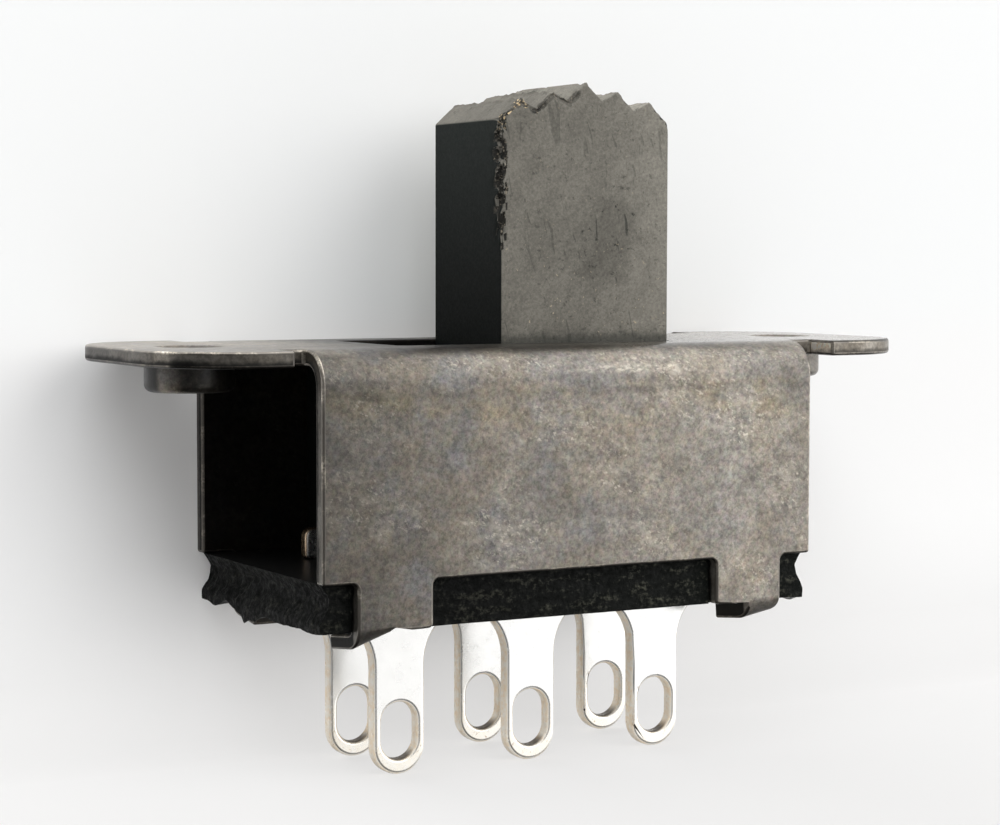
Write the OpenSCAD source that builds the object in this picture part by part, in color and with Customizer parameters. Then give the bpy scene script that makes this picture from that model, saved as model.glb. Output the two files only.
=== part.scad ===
// Two-pole, two-position slide switch for panel mounting, with six solder lugs.
// Origin at the centre of the flange's top face, +Z out through the knob, +X along the travel.
// The knob stands at the +X end of its travel.

/* [Frame] */
// Thickness of the frame's steel sheet
sheet_t = 0.65; // [0.5:0.05:0.9]
// Length of the channel along the travel
body_l = 22.9; // [22:0.1:25]
// Width of the channel and the flange
body_w = 12.7; // [12:0.1:16]
// Depth from the flange's top face to the lower edge of the side plates
plate_drop = 9.05; // [8.6:0.05:12]
// Outer radius of the long bends
bend_r = 1.4; // [1.1:0.05:2]
// Overall length across both ears
flange_l = 34.92; // [34:0.1:40]
// Corner radius of the ears
ear_r = 3.7; // [2:0.1:5]
// Width of the relief cut between an ear and a bend
relief_w = 1.1; // [0.4:0.05:1.2]
// How far the relief cut runs in past the bend line
relief_in = 0.25; // [0.1:0.05:0.6]

/* [Mounting holes] */
// Distance between the two mounting holes
hole_pitch = 28.58; // [27.6:0.02:30]
// Minor diameter of the thread in the mounting holes
hole_d = 2.4; // [2:0.1:2.6]
// Outer diameter of the drawn collar under each ear
collar_d = 3.6; // [3.4:0.1:4.4]
// Depth of the collar below the flange's underside
collar_h = 1.15; // [0.8:0.05:2]
// Radius of the collar's lower rim and of the hole's rolled top edge
rim_r = 0.3; // [0.1:0.05:0.4]

/* [Crimp tabs] */
// Distance from the middle of the body to a tab's inner edge
tab_x0 = 6.66; // [6:0.05:7]
// Width of a tab
tab_w = 3.29; // [2.6:0.05:3.6]
// Width of the outer part of a tab, which is folded under the board
fold_w = 1.6; // [1.2:0.05:2]
// Inner radius of the fold
fold_r = 0.35; // [0.3:0.05:0.6]
// Length of the flat end of the fold
fold_l = 1.7; // [1:0.1:2.4]
// Angle between the folded end and the board
fold_gape = 7; // [0:1:12]
// Radius in the corners at a tab's root
notch_r = 0.25; // [0.1:0.05:0.4]
// Radius on a tab's free inner corner
tab_r = 0.2; // [0.1:0.05:0.3]

/* [Knob] */
// Length of the knob along the travel
knob_l = 8.1; // [7:0.1:9]
// Width of the knob across the travel
knob_w = 5.88; // [5:0.1:7]
// Height of the knob's shoulder above the flange
knob_h = 9.2; // [6:0.1:12]
// Height of the middle tooth above the shoulder
crown_h = 1.6; // [1.2:0.1:2]
// Distance between neighbouring teeth on the knob
tooth_pitch = 1.55; // [1.4:0.05:1.7]
// Drop from one tooth's tip to the next one outwards
tip_drop = 0.37; // [0.2:0.01:0.5]
// Depth of a valley below the lower tip beside it
valley_h = 0.36; // [0.2:0.01:0.6]
// Travel of the knob between its two positions
travel = 4.6; // [4:0.1:5]

/* [Carriage] */
// Clearance between the knob and the slot's ends at each position
stop_gap = 0.1; // [0.05:0.05:0.3]
// Clearance between the knob and the slot's long sides
slot_gap = 0.13; // [0.05:0.01:0.3]
// Radius in the slot's corners
slot_r = 0.25; // [0.1:0.05:0.3]
// Overlap of the carriage past the slot's ends
slot_cover = 0.2; // [0.1:0.05:0.3]
// Clearance between the carriage and the channel around it
slide_gap = 0.12; // [0.05:0.01:0.3]
// Width of the grooves that run over the contact blades
groove_w = 1.95; // [1.8:0.05:2.3]

/* [Terminals] */
// Distance between neighbouring terminals in a row
lug_pitch = 6.18; // [5.8:0.02:6.6]
// Distance between the two rows
row_gap = 4.15; // [3.9:0.05:5]
// Thickness of the terminals
lug_t = 0.62; // [0.5:0.02:0.8]
// Width of a lug
lug_w = 2.34; // [2.1:0.02:2.6]
// Length of a lug below the board
lug_l = 6.6; // [6:0.1:9]
// Width of the solder eye
eye_w = 1.62; // [1.2:0.02:1.8]
// Length of the solder eye
eye_l = 2.36; // [2:0.02:3]
// Metal left below the eye
eye_margin = 0.62; // [0.4:0.02:0.9]
// Width of the stem that passes through the board
stem_w = 3.56; // [3:0.02:3.8]
// Length of the stem below the board, down to where it narrows
stem_l = 0.6; // [0.4:0.05:1]
// Radius of the hollow curve from the stem to the lug
neck_r = 2.2; // [1.5:0.1:3]
// Height of the contact blades above the board
blade_h = 1.3; // [1.1:0.05:1.6]
// Length of the contact blades
blade_l = 4.5; // [4:0.1:4.8]
// Radius on a blade's upper corners
blade_r = 0.4; // [0.2:0.05:0.6]

/* [Terminal board] */
// Thickness of the board
board_t = 1.92; // [1.5:0.02:2.4]
// How far the board stands back from the side plates' outer faces
board_inset = 0.42; // [0.2:0.02:0.5]
// Depth of the hollow that the punch leaves in the board's short ends
edge_hollow = 0.38; // [0:0.02:0.6]
// Clearance round each terminal in the board's slots
stem_gap = 0.03; // [0.01:0.01:0.1]
// Clearance between the board's notches and the tabs
tab_gap = 0.06; // [0.03:0.01:0.15]

/* [Contact clips] */
// Thickness of the clips' spring metal
clip_t = 0.26; // [0.2:0.02:0.3]
// Height of a clip
clip_h = 2.2; // [2:0.05:2.6]
// Height of a clip's flared lips
lip_h = 0.35; // [0.2:0.05:0.5]
// Outer width of a clip over its shoulders
clip_w = 1.44; // [1.3:0.02:1.5]
// How far a clip reaches over an outer blade
clip_reach = 1.7; // [1.2:0.05:2]
// Clearance between a clip's lips and a blade on each side
pinch_gap = 0.02; // [0.01:0.01:0.04]
// Clearance between a clip and its pocket
pocket_gap = 0.05; // [0.03:0.01:0.1]

/* [Detent] */
// Diameter of the detent ball
ball_d = 2; // [1.8:0.1:2.2]
// Diameter of the two detent holes in the rear plate
detent_d = 1.5; // [1.2:0.1:1.6]
// Depth of the detent below the flange's top face
detent_z = 3.4; // [3:0.1:3.8]
// Length of the detent spring as installed
spring_l = 2.4; // [2:0.1:3]
// Wire diameter of the detent spring
wire_d = 0.24; // [0.15:0.01:0.3]
// Turns of the detent spring
spring_turns = 4.5; // [3:0.5:6]
// Clearance round the ball and the spring in their bore
ball_gap = 0.05; // [0.03:0.01:0.1]

/* [Hidden] */
$fn = 48;
eps = 0.01;
// Frame
half_w = body_w / 2;
half_l = body_l / 2;
inner_y = half_w - sheet_t;
bend_y = half_w - bend_r;
board_low = plate_drop + board_t;
fold_top = board_low - fold_r / 2;
fold_x = tab_x0 + tab_w - fold_w;
// Slider
knob_x = travel / 2;
slot_l = knob_l + travel + 2 * stop_gap;
slot_w = knob_w + 2 * slot_gap;
carriage_l = slot_l + travel + 2 * slot_cover;
carriage_w = 2 * (inner_y - slide_gap);
carriage_r = bend_r - sheet_t / 2;
carriage_top = -sheet_t - slide_gap;
carriage_bottom = -plate_drop + slide_gap;
// Terminals
row_y = row_gap / 2;
blade_top = -plate_drop + blade_h;
end_blade_x = lug_pitch - blade_l / 2;
board_w = body_w - 2 * board_inset;
lug_tip = -board_low - lug_l;
// Clips: each bridges the middle blade and one outer blade at either end of the travel
clip_l = 2 * (end_blade_x - travel / 2 + clip_reach);
clip_top = -plate_drop + 2 * clip_t + clip_h;
groove_top = blade_top + 2 * slide_gap;
// Detent
ball_y = inner_y - ball_gap - ball_d / 2;
bore_d = ball_d + 2 * ball_gap;
spring_y0 = ball_y - ball_d / 2 - spring_l;
spring_d = bore_d - 4 * ball_gap;

// ---- Plane shapes ----

// Rectangle centred on the origin with true arcs at its corners
module round_rect(l, w, r) {
    square([l - 2 * r, w], center = true);
    square([l, w - 2 * r], center = true);
    for (x = [-1, 1], y = [-1, 1])
        translate([x * (l / 2 - r), y * (w / 2 - r)])
            circle(r);
}

// Part of a ring between two angles less than 180 degrees apart
module arc_band(r_in, r_out, a0, a1) {
    far = 2 * r_out;
    mid = (a0 + a1) / 2;
    intersection() {
        difference() {
            circle(r_out);
            circle(r_in);
        }
        polygon([[0, 0], far * [cos(a0), sin(a0)], far * [cos(mid), sin(mid)],
                 far * [cos(a1), sin(a1)]]);
    }
}

// Strip of constant thickness along an open path of points
function unit(v) = v / norm(v);
function left_of(v) = [-v[1], v[0]];
function mitre(p, i) =
    let (n = len(p) - 1,
         a = left_of(unit(p[max(i, 1)] - p[max(i, 1) - 1])),
         b = left_of(unit(p[min(i + 1, n)] - p[min(i + 1, n) - 1])))
    (a + b) / (1 + a * b);
module strip(p, t) {
    n = len(p) - 1;
    polygon(concat([for (i = [0 : n]) p[i] + mitre(p, i) * t / 2],
                   [for (i = [n : -1 : 0]) p[i] - mitre(p, i) * t / 2]));
}

// Stands a plane drawing of (y, z) up across the travel, centred on x
module across_x(x, l) {
    translate([x - l / 2, 0, 0])
        rotate([90, 0, 90])
            linear_extrude(l)
                children();
}

// Stands a plane drawing of (x, z) up along the travel, centred on y
module along_x(y, t) {
    translate([0, y + t / 2, 0])
        rotate([90, 0, 0])
            linear_extrude(t)
                children();
}

// ---- Frame: one sheet, blanked, drawn and folded ----

// Section of the channel: flat top, two bends and two side plates
module channel_section() {
    translate([-bend_y, -sheet_t])
        square([2 * bend_y, sheet_t]);
    for (side = [0, 1])
        mirror([side, 0]) {
            translate([bend_y, -bend_r])
                arc_band(bend_r - sheet_t, bend_r, 0, 90);
            translate([inner_y, -fold_top])
                square([sheet_t, fold_top - bend_r]);
        }
}

// Ears with their rounded corners, joined to the body between the relief cuts
module ear_outline() {
    intersection() {
        round_rect(flange_l, body_w, ear_r);
        for (side = [0, 1])
            mirror([side, 0]) {
                translate([half_l + relief_w, -half_w])
                    square([flange_l, body_w]);
                translate([half_l - relief_w, -bend_y + relief_in])
                    square([3 * relief_w, 2 * (bend_y - relief_in)]);
            }
    }
}

// Drawn collar with a rolled top edge, around its tapped hole
module collar(hole_only) {
    depth = sheet_t + collar_h;
    if (hole_only) {
        translate([0, 0, -depth - 1])
            cylinder(d = hole_d, h = depth + 2);
        rotate_extrude()
            difference() {
                translate([0, -rim_r])
                    square([hole_d / 2 + rim_r, rim_r + 1]);
                translate([hole_d / 2 + rim_r, -rim_r])
                    circle(rim_r);
            }
    } else {
        rotate_extrude() {
            translate([0, -depth + rim_r])
                square([collar_d / 2, depth - rim_r - sheet_t / 2]);
            translate([0, -depth])
                square([collar_d / 2 - rim_r, depth - sheet_t / 2]);
            translate([collar_d / 2 - rim_r, -depth + rim_r])
                circle(rim_r);
        }
    }
}

// Cut-out below the side plates' lower edge, rounded at its upper corners
module edge_cut(x0, x1) {
    deep = 3 * board_t;
    translate([x0, -plate_drop - deep])
        square([x1 - x0, deep - notch_r]);
    translate([x0 + notch_r, -plate_drop - deep])
        square([x1 - x0 - 2 * notch_r, deep]);
    for (x = [x0 + notch_r, x1 - notch_r])
        translate([x, -plate_drop - notch_r])
            circle(notch_r);
}

// Waste outside a tab's rounded inner corner
module tab_corner() {
    difference() {
        translate([tab_x0 - eps, -board_low - eps])
            square(tab_r + eps);
        translate([tab_x0 + tab_r, tab_r - board_low])
            circle(tab_r);
    }
}

// Folded outer part of a tab, curling in below the board
module tab_fold() {
    fold_end = 90 - fold_gape;
    across_x(fold_x + fold_w / 2, fold_w)
        translate([inner_y - fold_r, -fold_top]) {
            mirror([0, 1])
                arc_band(fold_r, fold_r + sheet_t, 0, fold_end);
            rotate(-fold_end)
                translate([fold_r, -fold_l])
                    square([sheet_t, fold_l + eps]);
        }
}

module frame() {
    color([0.36, 0.34, 0.32])
    difference() {
        union() {
            across_x(0, body_l)
                channel_section();
            // straight inner parts of the tabs reach the board's underside
            for (x = [-1, 1], y = [-1, 1])
                translate([x * (tab_x0 + fold_x) / 2, y * (inner_y + half_w) / 2,
                           -(plate_drop + board_low) / 2])
                    cube([fold_x - tab_x0, sheet_t, board_t], center = true);
            for (x = [0, 1], y = [0, 1])
                mirror([x, 0, 0])
                    mirror([0, y, 0])
                        tab_fold();
            translate([0, 0, -sheet_t])
                linear_extrude(sheet_t)
                    ear_outline();
            for (x = [-1, 1])
                translate([x * hole_pitch / 2, 0, 0])
                    collar(false);
        }
        for (x = [-1, 1])
            translate([x * hole_pitch / 2, 0, 0])
                collar(true);
        translate([0, 0, -2 * sheet_t])
            linear_extrude(3 * sheet_t)
                round_rect(slot_l, slot_w, slot_r);
        along_x(0, 2 * body_w)
            edge_cut(-tab_x0, tab_x0);
        for (side = [0, 1])
            mirror([side, 0, 0])
                along_x(0, 2 * body_w) {
                    edge_cut(tab_x0 + tab_w, half_l + tab_w);
                    tab_corner();
                }
        for (x = [-1, 1])
            translate([x * travel / 2, half_w, -detent_z])
                rotate([90, 0, 0])
                    cylinder(d = detent_d, h = 3 * sheet_t, center = true);
    }
}

// ---- Slider: knob and carriage in one moulding ----

function tip_z(i) = knob_h + crown_h - tip_drop * abs(i);
function valley_z(i) = min(tip_z(i), tip_z(i + 1)) - valley_h;

module knob_side() {
    teeth = [for (i = [2 : -1 : -2])
                 each [[i * tooth_pitch, tip_z(i)],
                       if (i > -2) [(i - 0.5) * tooth_pitch, valley_z(i - 1)]]];
    polygon(concat([[-knob_l / 2, carriage_top - 0.5], [knob_l / 2, carriage_top - 0.5],
                    [knob_l / 2, knob_h]], teeth, [[-knob_l / 2, knob_h]]));
}

module carriage_section() {
    half = carriage_w / 2;
    difference() {
        union() {
            translate([-half, carriage_bottom])
                square([carriage_w, carriage_top - carriage_r - carriage_bottom]);
            translate([carriage_r - half, carriage_bottom])
                square([carriage_w - 2 * carriage_r, carriage_top - carriage_bottom]);
            for (y = [carriage_r - half, half - carriage_r])
                translate([y, carriage_top - carriage_r])
                    circle(carriage_r);
        }
        for (y = [-row_y, row_y])
            translate([y - groove_w / 2, carriage_bottom - 1])
                square([groove_w, groove_top - carriage_bottom + 1]);
    }
}

module slider() {
    pocket_l = clip_l + 2 * pocket_gap;
    pocket_w = clip_w + 2 * pocket_gap;
    color([0.16, 0.16, 0.17])
    difference() {
        union() {
            translate([knob_x, 0, 0])
                along_x(0, knob_w)
                    knob_side();
            across_x(knob_x, carriage_l)
                carriage_section();
        }
        for (y = [-row_y, row_y])
            translate([knob_x, y, (clip_top + pocket_gap + blade_top) / 2])
                cube([pocket_l, pocket_w, clip_top + pocket_gap - blade_top], center = true);
        translate([knob_x, spring_y0, -detent_z])
            rotate([-90, 0, 0])
                cylinder(d = bore_d, h = body_w);
    }
}

// ---- Terminals ----

// A terminal's outline: contact blade, stem, neck and lug with its solder eye
module terminal_side() {
    neck_z = -board_low - stem_l - sqrt(pow(neck_r, 2) - pow(neck_r - (stem_w - lug_w) / 2, 2));
    end_z = lug_tip + lug_w / 2;
    eye_low = lug_tip + eye_margin + eye_w / 2;
    difference() {
        union() {
            // contact blade
            translate([-blade_l / 2, -plate_drop])
                square([blade_l, blade_h - blade_r]);
            translate([blade_r - blade_l / 2, -plate_drop])
                square([blade_l - 2 * blade_r, blade_h]);
            for (x = [-1, 1])
                translate([x * (blade_l / 2 - blade_r), blade_top - blade_r])
                    circle(blade_r);
            // stem and lug
            translate([-stem_w / 2, neck_z])
                square([stem_w, -plate_drop - neck_z + eps]);
            translate([-lug_w / 2, end_z])
                square([lug_w, neck_z - end_z + eps]);
            translate([0, end_z])
                circle(lug_w / 2);
        }
        for (x = [-1, 1])
            translate([x * (lug_w / 2 + neck_r), neck_z])
                circle(neck_r);
        for (z = [eye_low, eye_low + eye_l - eye_w])
            translate([0, z])
                circle(eye_w / 2);
        translate([-eye_w / 2, eye_low])
            square([eye_w, eye_l - eye_w]);
    }
}

// place is -1, 0 or 1 along the row; row is -1 at the front and 1 at the rear
module terminal(place, row) {
    color([0.86, 0.84, 0.8])
    translate([place * lug_pitch, 0, 0])
        along_x(row * row_y, lug_t)
            terminal_side();
}

// The board's outline from the side, with the hollow that the punch leaves in each end
module board_side() {
    hollow = [[0, 0], [0, 0.2], [edge_hollow, 0.52], [edge_hollow, 0.72], [0, 1]];
    right = [for (p = hollow) [half_l - p[0], p[1] * board_t - board_low]];
    left = [for (i = [len(right) - 1 : -1 : 0]) [-right[i][0], right[i][1]]];
    polygon(concat(right, left));
}

module terminal_board() {
    mid_z = -(plate_drop + board_low) / 2;
    color([0.07, 0.07, 0.07])
    difference() {
        along_x(0, board_w)
            board_side();
        for (place = [-1 : 1], row = [-1, 1])
            translate([place * lug_pitch, row * row_y, mid_z])
                cube([stem_w + 2 * stem_gap, lug_t + 2 * stem_gap, 2 * board_t], center = true);
        // notches for the tabs, wider at the top where a tab's root is filleted
        for (x = [-1, 1], y = [-1, 1])
            translate([x * (tab_x0 + tab_w / 2), y * (inner_y - tab_gap + half_w), 0]) {
                translate([0, 0, mid_z])
                    cube([tab_w + 2 * tab_gap, body_w, 2 * board_t], center = true);
                translate([0, 0, -plate_drop])
                    cube([tab_w + 2 * notch_r, body_w, 2 * notch_r], center = true);
            }
    }
}

// ---- Contact clips: sprung channels that grip the blades ----

module clip_section() {
    lip = lug_t / 2 + pinch_gap + clip_t / 2;
    out = (clip_w - clip_t) / 2;
    top = clip_top - clip_t / 2;
    low = clip_top - clip_h + clip_t / 2;
    pinch_z = low + lip_h;
    knee_z = (pinch_z + top) / 2;
    bevel = clip_t;
    strip([[-out, low], [-lip, pinch_z], [-out, knee_z], [-out, top - bevel],
           [-out + bevel, top], [out - bevel, top], [out, top - bevel], [out, knee_z],
           [lip, pinch_z], [out, low]], clip_t);
}

module contact_clip(row) {
    color([0.72, 0.52, 0.3])
    translate([0, row * row_y, 0])
        across_x(knob_x, clip_l)
            clip_section();
}

// ---- Detent ----

module detent_ball() {
    color([0.8, 0.8, 0.82])
    translate([knob_x, ball_y, -detent_z])
        sphere(d = ball_d);
}

// Helical spring swept as a closed tube: rings of points along the helix
module detent_spring() {
    steps = 16;
    sides = 8;
    rings = floor(spring_turns * steps);
    mean_r = (spring_d - wire_d) / 2;
    rise = spring_l - wire_d - 2 * eps;
    points = [for (i = [0 : rings])
                  let (a = 360 * i / steps, h = wire_d / 2 + eps + rise * i / rings)
                  for (k = [0 : sides - 1])
                      let (b = 360 * k / sides, r = mean_r + wire_d / 2 * cos(b))
                      [r * cos(a), r * sin(a), h + wire_d / 2 * sin(b)]];
    walls = [for (i = [0 : rings - 1], k = [0 : sides - 1])
                 let (a = i * sides + k, b = i * sides + (k + 1) % sides)
                 [a, a + sides, b + sides, b]];
    ends = [[for (k = [0 : sides - 1]) k],
            [for (k = [sides - 1 : -1 : 0]) rings * sides + k]];
    color([0.75, 0.75, 0.78])
    translate([knob_x, spring_y0, -detent_z])
        rotate([-90, 0, 0])
            polyhedron(points, concat(walls, ends), convexity = 4);
}

frame();
slider();
terminal_board();
terminal(-1, -1);  // terminal_front_left
terminal(0, -1);  // terminal_front_middle
terminal(1, -1);  // terminal_front_right
terminal(-1, 1);  // terminal_rear_left
terminal(0, 1);  // terminal_rear_middle
terminal(1, 1);  // terminal_rear_right
contact_clip(-1);  // contact_clip_front
contact_clip(1);  // contact_clip_rear
detent_ball();
detent_spring();
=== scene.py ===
"""Looks for a panel-mounted slide switch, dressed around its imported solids.

Lengths in the classes are in millimetres and become metres when a mesh is written.
X runs along the knob's travel, -Y is the plain side plate, +Z comes out of the panel.
"""

import sys

import logging
import math
from collections.abc import Callable
from dataclasses import dataclass, field, replace
from enum import Enum
from functools import partial, reduce

import bmesh
import bpy
import numpy as np
from mathutils import Matrix, Vector


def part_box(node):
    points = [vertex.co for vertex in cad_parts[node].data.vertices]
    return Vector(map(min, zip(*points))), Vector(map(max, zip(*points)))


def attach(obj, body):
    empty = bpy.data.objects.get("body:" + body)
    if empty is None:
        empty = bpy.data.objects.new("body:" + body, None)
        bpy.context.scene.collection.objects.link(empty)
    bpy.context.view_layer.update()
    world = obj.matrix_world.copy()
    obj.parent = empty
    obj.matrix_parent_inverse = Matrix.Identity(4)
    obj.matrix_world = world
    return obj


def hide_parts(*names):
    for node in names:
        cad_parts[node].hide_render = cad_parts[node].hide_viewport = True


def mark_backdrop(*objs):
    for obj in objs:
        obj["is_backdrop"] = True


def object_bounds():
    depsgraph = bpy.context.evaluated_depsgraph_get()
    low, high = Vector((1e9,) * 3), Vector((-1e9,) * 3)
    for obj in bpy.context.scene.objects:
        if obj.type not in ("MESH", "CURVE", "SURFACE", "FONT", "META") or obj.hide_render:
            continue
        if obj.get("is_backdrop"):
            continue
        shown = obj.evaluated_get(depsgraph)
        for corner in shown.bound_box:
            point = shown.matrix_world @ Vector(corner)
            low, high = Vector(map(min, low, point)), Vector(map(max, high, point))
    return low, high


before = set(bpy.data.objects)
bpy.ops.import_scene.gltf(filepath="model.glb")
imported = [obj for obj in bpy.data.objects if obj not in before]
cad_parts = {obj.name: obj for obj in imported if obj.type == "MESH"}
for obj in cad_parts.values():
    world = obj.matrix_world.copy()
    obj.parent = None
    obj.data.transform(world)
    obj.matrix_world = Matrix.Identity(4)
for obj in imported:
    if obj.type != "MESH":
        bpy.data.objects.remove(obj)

MM = 0.001
HOUSING = "housing"
CARRIAGE = "sliding_carriage"
WELD = 0.0012  # millimetres: points of a solid closer than this are one
FLAT_TURN = 0.6  # degrees: faces that turn less than this are one
ROLL_TURN = 32  # degrees: edges that turn more than this are rolled
SHARP_TURN = 38  # degrees: edges of a new surface that turn more than this stay sharp
log = logging.getLogger("slide_switch")

Span = tuple[float, float]
Triple = tuple[float, float, float]
Colour = Triple
Socket = bpy.types.NodeSocket
Value = Socket | float
Paint = Value | Colour
Corners = Callable[[np.ndarray], np.ndarray]
Items = bpy.types.bpy_prop_collection


class Row(Enum):
    """The two rows of terminals, by the sign of their Y."""

    FRONT = -1
    REAR = 1


class Place(Enum):
    """A terminal's place along its row, by the sign of its X."""

    LEFT = -1
    MIDDLE = 0
    RIGHT = 1


# ---- Plane and solid noise -------------------------------------------------------------


class LatticeNoise:
    """Smooth noise that is the same on every run, read from a repeating lattice of values."""

    def __init__(self, seed: int, size: int = 48) -> None:
        """Fills a lattice of size values a side, drawn from a generator that starts at seed."""
        self.size = size
        self.values = np.random.default_rng(seed).random((size, size, size))

    def __call__(self, points: np.ndarray, cell: float) -> np.ndarray:
        """Blends the eight values around each point with smoothstep weights.

        Args:
            points: array of (..., 3) places.
            cell: the lattice's spacing, in the same unit.

        Returns:
            Values from 0 to 1, one per point.
        """
        scaled = np.asarray(points, float) / cell
        base = np.floor(scaled).astype(int)
        part = scaled - base
        part = part * part * (3 - 2 * part)
        total = np.zeros(scaled.shape[:-1])
        for corner in np.ndindex(2, 2, 2):
            near = (base + corner) % self.size
            weight = np.prod(np.where(corner, part, 1 - part), axis=-1)
            total += weight * self.values[near[..., 0], near[..., 1], near[..., 2]]
        return total

    def layered(self, points: np.ndarray, cell: float, layers: int = 3) -> np.ndarray:
        """Adds layers of noise, each at half the cell and half the weight of the last.

        Args:
            points: array of (..., 3) places.
            cell: spacing of the first layer.
            layers: how many layers to add.

        Returns:
            Values from 0 to 1.
        """
        weights = 0.5 ** np.arange(layers)
        parts = [w * self(points + 7.3 * i, cell * w) for i, w in enumerate(weights)]
        return np.sum(parts, axis=0) / weights.sum()


# ---- Meshes ----------------------------------------------------------------------------


class Skin:
    """A closed surface put together from grids of points that meet along their borders."""

    def __init__(self, name: str) -> None:
        """Starts an empty surface.

        Args:
            name: the piece's name.
        """
        self.name = name
        self.points: list[np.ndarray] = []
        self.quads: list[np.ndarray] = []
        self.count = 0

    def add(self, grid: np.ndarray, flip: bool = False) -> None:
        """Adds a grid of points, with a quad between each four neighbours.

        Args:
            grid: array of (rows, columns, 3) places.
            flip: turns the quads over, so that they face outwards.
        """
        rows, columns = grid.shape[:2]
        index = np.arange(rows * columns).reshape(rows, columns) + self.count
        corners = [index[:-1, :-1], index[:-1, 1:], index[1:, 1:], index[1:, :-1]]
        if flip:
            corners.reverse()
        self.quads.append(np.stack(corners, axis=-1).reshape(-1, 4))
        self.points.append(grid.reshape(-1, 3))
        self.count += rows * columns

    def finish(self, shape: Corners | None = None, tolerance: float = 1e-4) -> bpy.types.Object:
        """Joins the grids along their borders and writes the mesh.

        Args:
            shape: moves the joined points.
            tolerance: points closer than this are one, in millimetres.

        Returns:
            The new object, smooth with its sharp edges marked.
        """
        points = np.concatenate(self.points)
        cells = np.round(points / tolerance).astype(np.int64)
        _, first, where = np.unique(cells, axis=0, return_index=True, return_inverse=True)
        quads = where.reshape(-1)[np.concatenate(self.quads)]
        points = points[first] if shape is None else shape(points[first])
        return new_object(self.name, points, quads)


def linked(name: str, data: bpy.types.ID) -> bpy.types.Object:
    """Makes an object of its data and puts it into the scene.

    Args:
        name: the object's name.
        data: its mesh, lamp or camera.

    Returns:
        The object.
    """
    made = bpy.data.objects.new(name, data)
    bpy.context.scene.collection.objects.link(made)
    return made


def read(items: Items, key: str, width: int = 3, kind: type = np.float32) -> np.ndarray:
    """Reads one attribute of every vertex, loop or face.

    Args:
        items: the mesh's vertices, loops or faces.
        key: the attribute.
        width: how many numbers it has.
        kind: the numbers' type.

    Returns:
        Array with a row for each item.
    """
    values = np.zeros(len(items) * width, kind)
    items.foreach_get(key, values)
    return values.reshape(-1, width)


def new_object(name: str, points: np.ndarray, faces: np.ndarray) -> bpy.types.Object:
    """Writes points and faces as an object at the origin.

    Args:
        name: the piece's name.
        points: array of (n, 3) places in millimetres.
        faces: rows of point numbers.

    Returns:
        The new object.
    """
    mesh = bpy.data.meshes.new(name)
    mesh.from_pydata((points * MM).tolist(), [], faces.tolist())
    mesh.update()
    mesh.polygons.foreach_set("use_smooth", np.ones(len(mesh.polygons), bool))
    mesh.set_sharp_from_angle(angle=math.radians(SHARP_TURN))
    return linked(name, mesh)


def graded(start: float, end: float, edge: float, middle: float, reach: float) -> np.ndarray:
    """Spaces samples closely near both ends of a span and widely between.

    The wanted spacing is edge within reach of an end and middle elsewhere; the samples are
    where the running sum of its inverse passes whole numbers.

    Args:
        start: first sample.
        end: last sample.
        edge: spacing near the ends.
        middle: spacing away from them.
        reach: how far the close spacing goes.

    Returns:
        The samples, in order, with both ends.
    """
    line = np.linspace(start, end, 4001)
    near = np.minimum(line - start, end - line)
    widened = edge + (middle - edge) * np.minimum((near - reach) / (4 * middle), 1)
    density = 1 / np.where(near < reach, edge, widened)
    total = np.concatenate([[0], np.cumsum((density[1:] + density[:-1]) / 2 * np.diff(line))])
    steps = max(2, int(round(total[-1])))
    return np.interp(np.linspace(0, total[-1], steps + 1), total, line)


def box_skin(name: str, xs: np.ndarray, ys: np.ndarray, zs: np.ndarray) -> Skin:
    """Lays six grids over a box, so that their borders share points.

    Args:
        name: the piece's name.
        xs: samples along X.
        ys: samples along Y.
        zs: samples along Z.

    Returns:
        The skin, ready to be finished.
    """
    skin = Skin(name)
    for y, flip in ((ys[0], False), (ys[-1], True)):
        z, x = np.meshgrid(zs, xs, indexing="ij")
        skin.add(np.stack([x, np.full_like(x, y), z], axis=-1), flip)
    for x, flip in ((xs[0], True), (xs[-1], False)):
        z, y = np.meshgrid(zs, ys, indexing="ij")
        skin.add(np.stack([np.full_like(y, x), y, z], axis=-1), flip)
    for z, flip in ((zs[0], True), (zs[-1], False)):
        y, x = np.meshgrid(ys, xs, indexing="ij")
        skin.add(np.stack([x, y, np.full_like(x, z)], axis=-1), flip)
    return skin


def joined_copy(node: str) -> bmesh.types.BMesh:
    """Copies a solid's mesh with its doubled points joined and its flat faces made whole.

    Args:
        node: the solid's name.

    Returns:
        The copy, in metres.
    """
    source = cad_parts[node].data
    loops = read(source.loops, "vertex_index", 1, np.int32).reshape(-1, 3)
    plain = bpy.data.meshes.new(node + "_plain")
    plain.from_pydata(read(source.vertices, "co").tolist(), [], loops.tolist())
    copy = bmesh.new()
    copy.from_mesh(plain)
    bpy.data.meshes.remove(plain)
    bmesh.ops.remove_doubles(copy, verts=copy.verts, dist=WELD * MM)
    flat = math.radians(FLAT_TURN)
    bmesh.ops.dissolve_limit(copy, angle_limit=flat, verts=copy.verts, edges=copy.edges)
    return copy


def sharp_weights(copy: bmesh.types.BMesh, spared: Corners | None) -> np.ndarray:
    """Weighs every edge for rolling: 1 where it turns by more than ROLL_TURN, or 0.

    A sharp edge that is spared is marked by a weight below 0.

    Args:
        copy: the solid's mesh.
        spared: tells, for (n, 3) corners in millimetres, which of them stay sharp.

    Returns:
        One weight per edge.
    """
    turns = np.array([edge.calc_face_angle(0.0) for edge in copy.edges])
    weights = (turns > math.radians(ROLL_TURN)).astype(np.float32)
    if spared is not None:
        ends = np.array([[tuple(vert.co) for vert in edge.verts] for edge in copy.edges]) / MM
        weights[(weights > 0) & (spared(ends[:, 0]) | spared(ends[:, 1]))] = -1.0
    return weights


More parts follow.
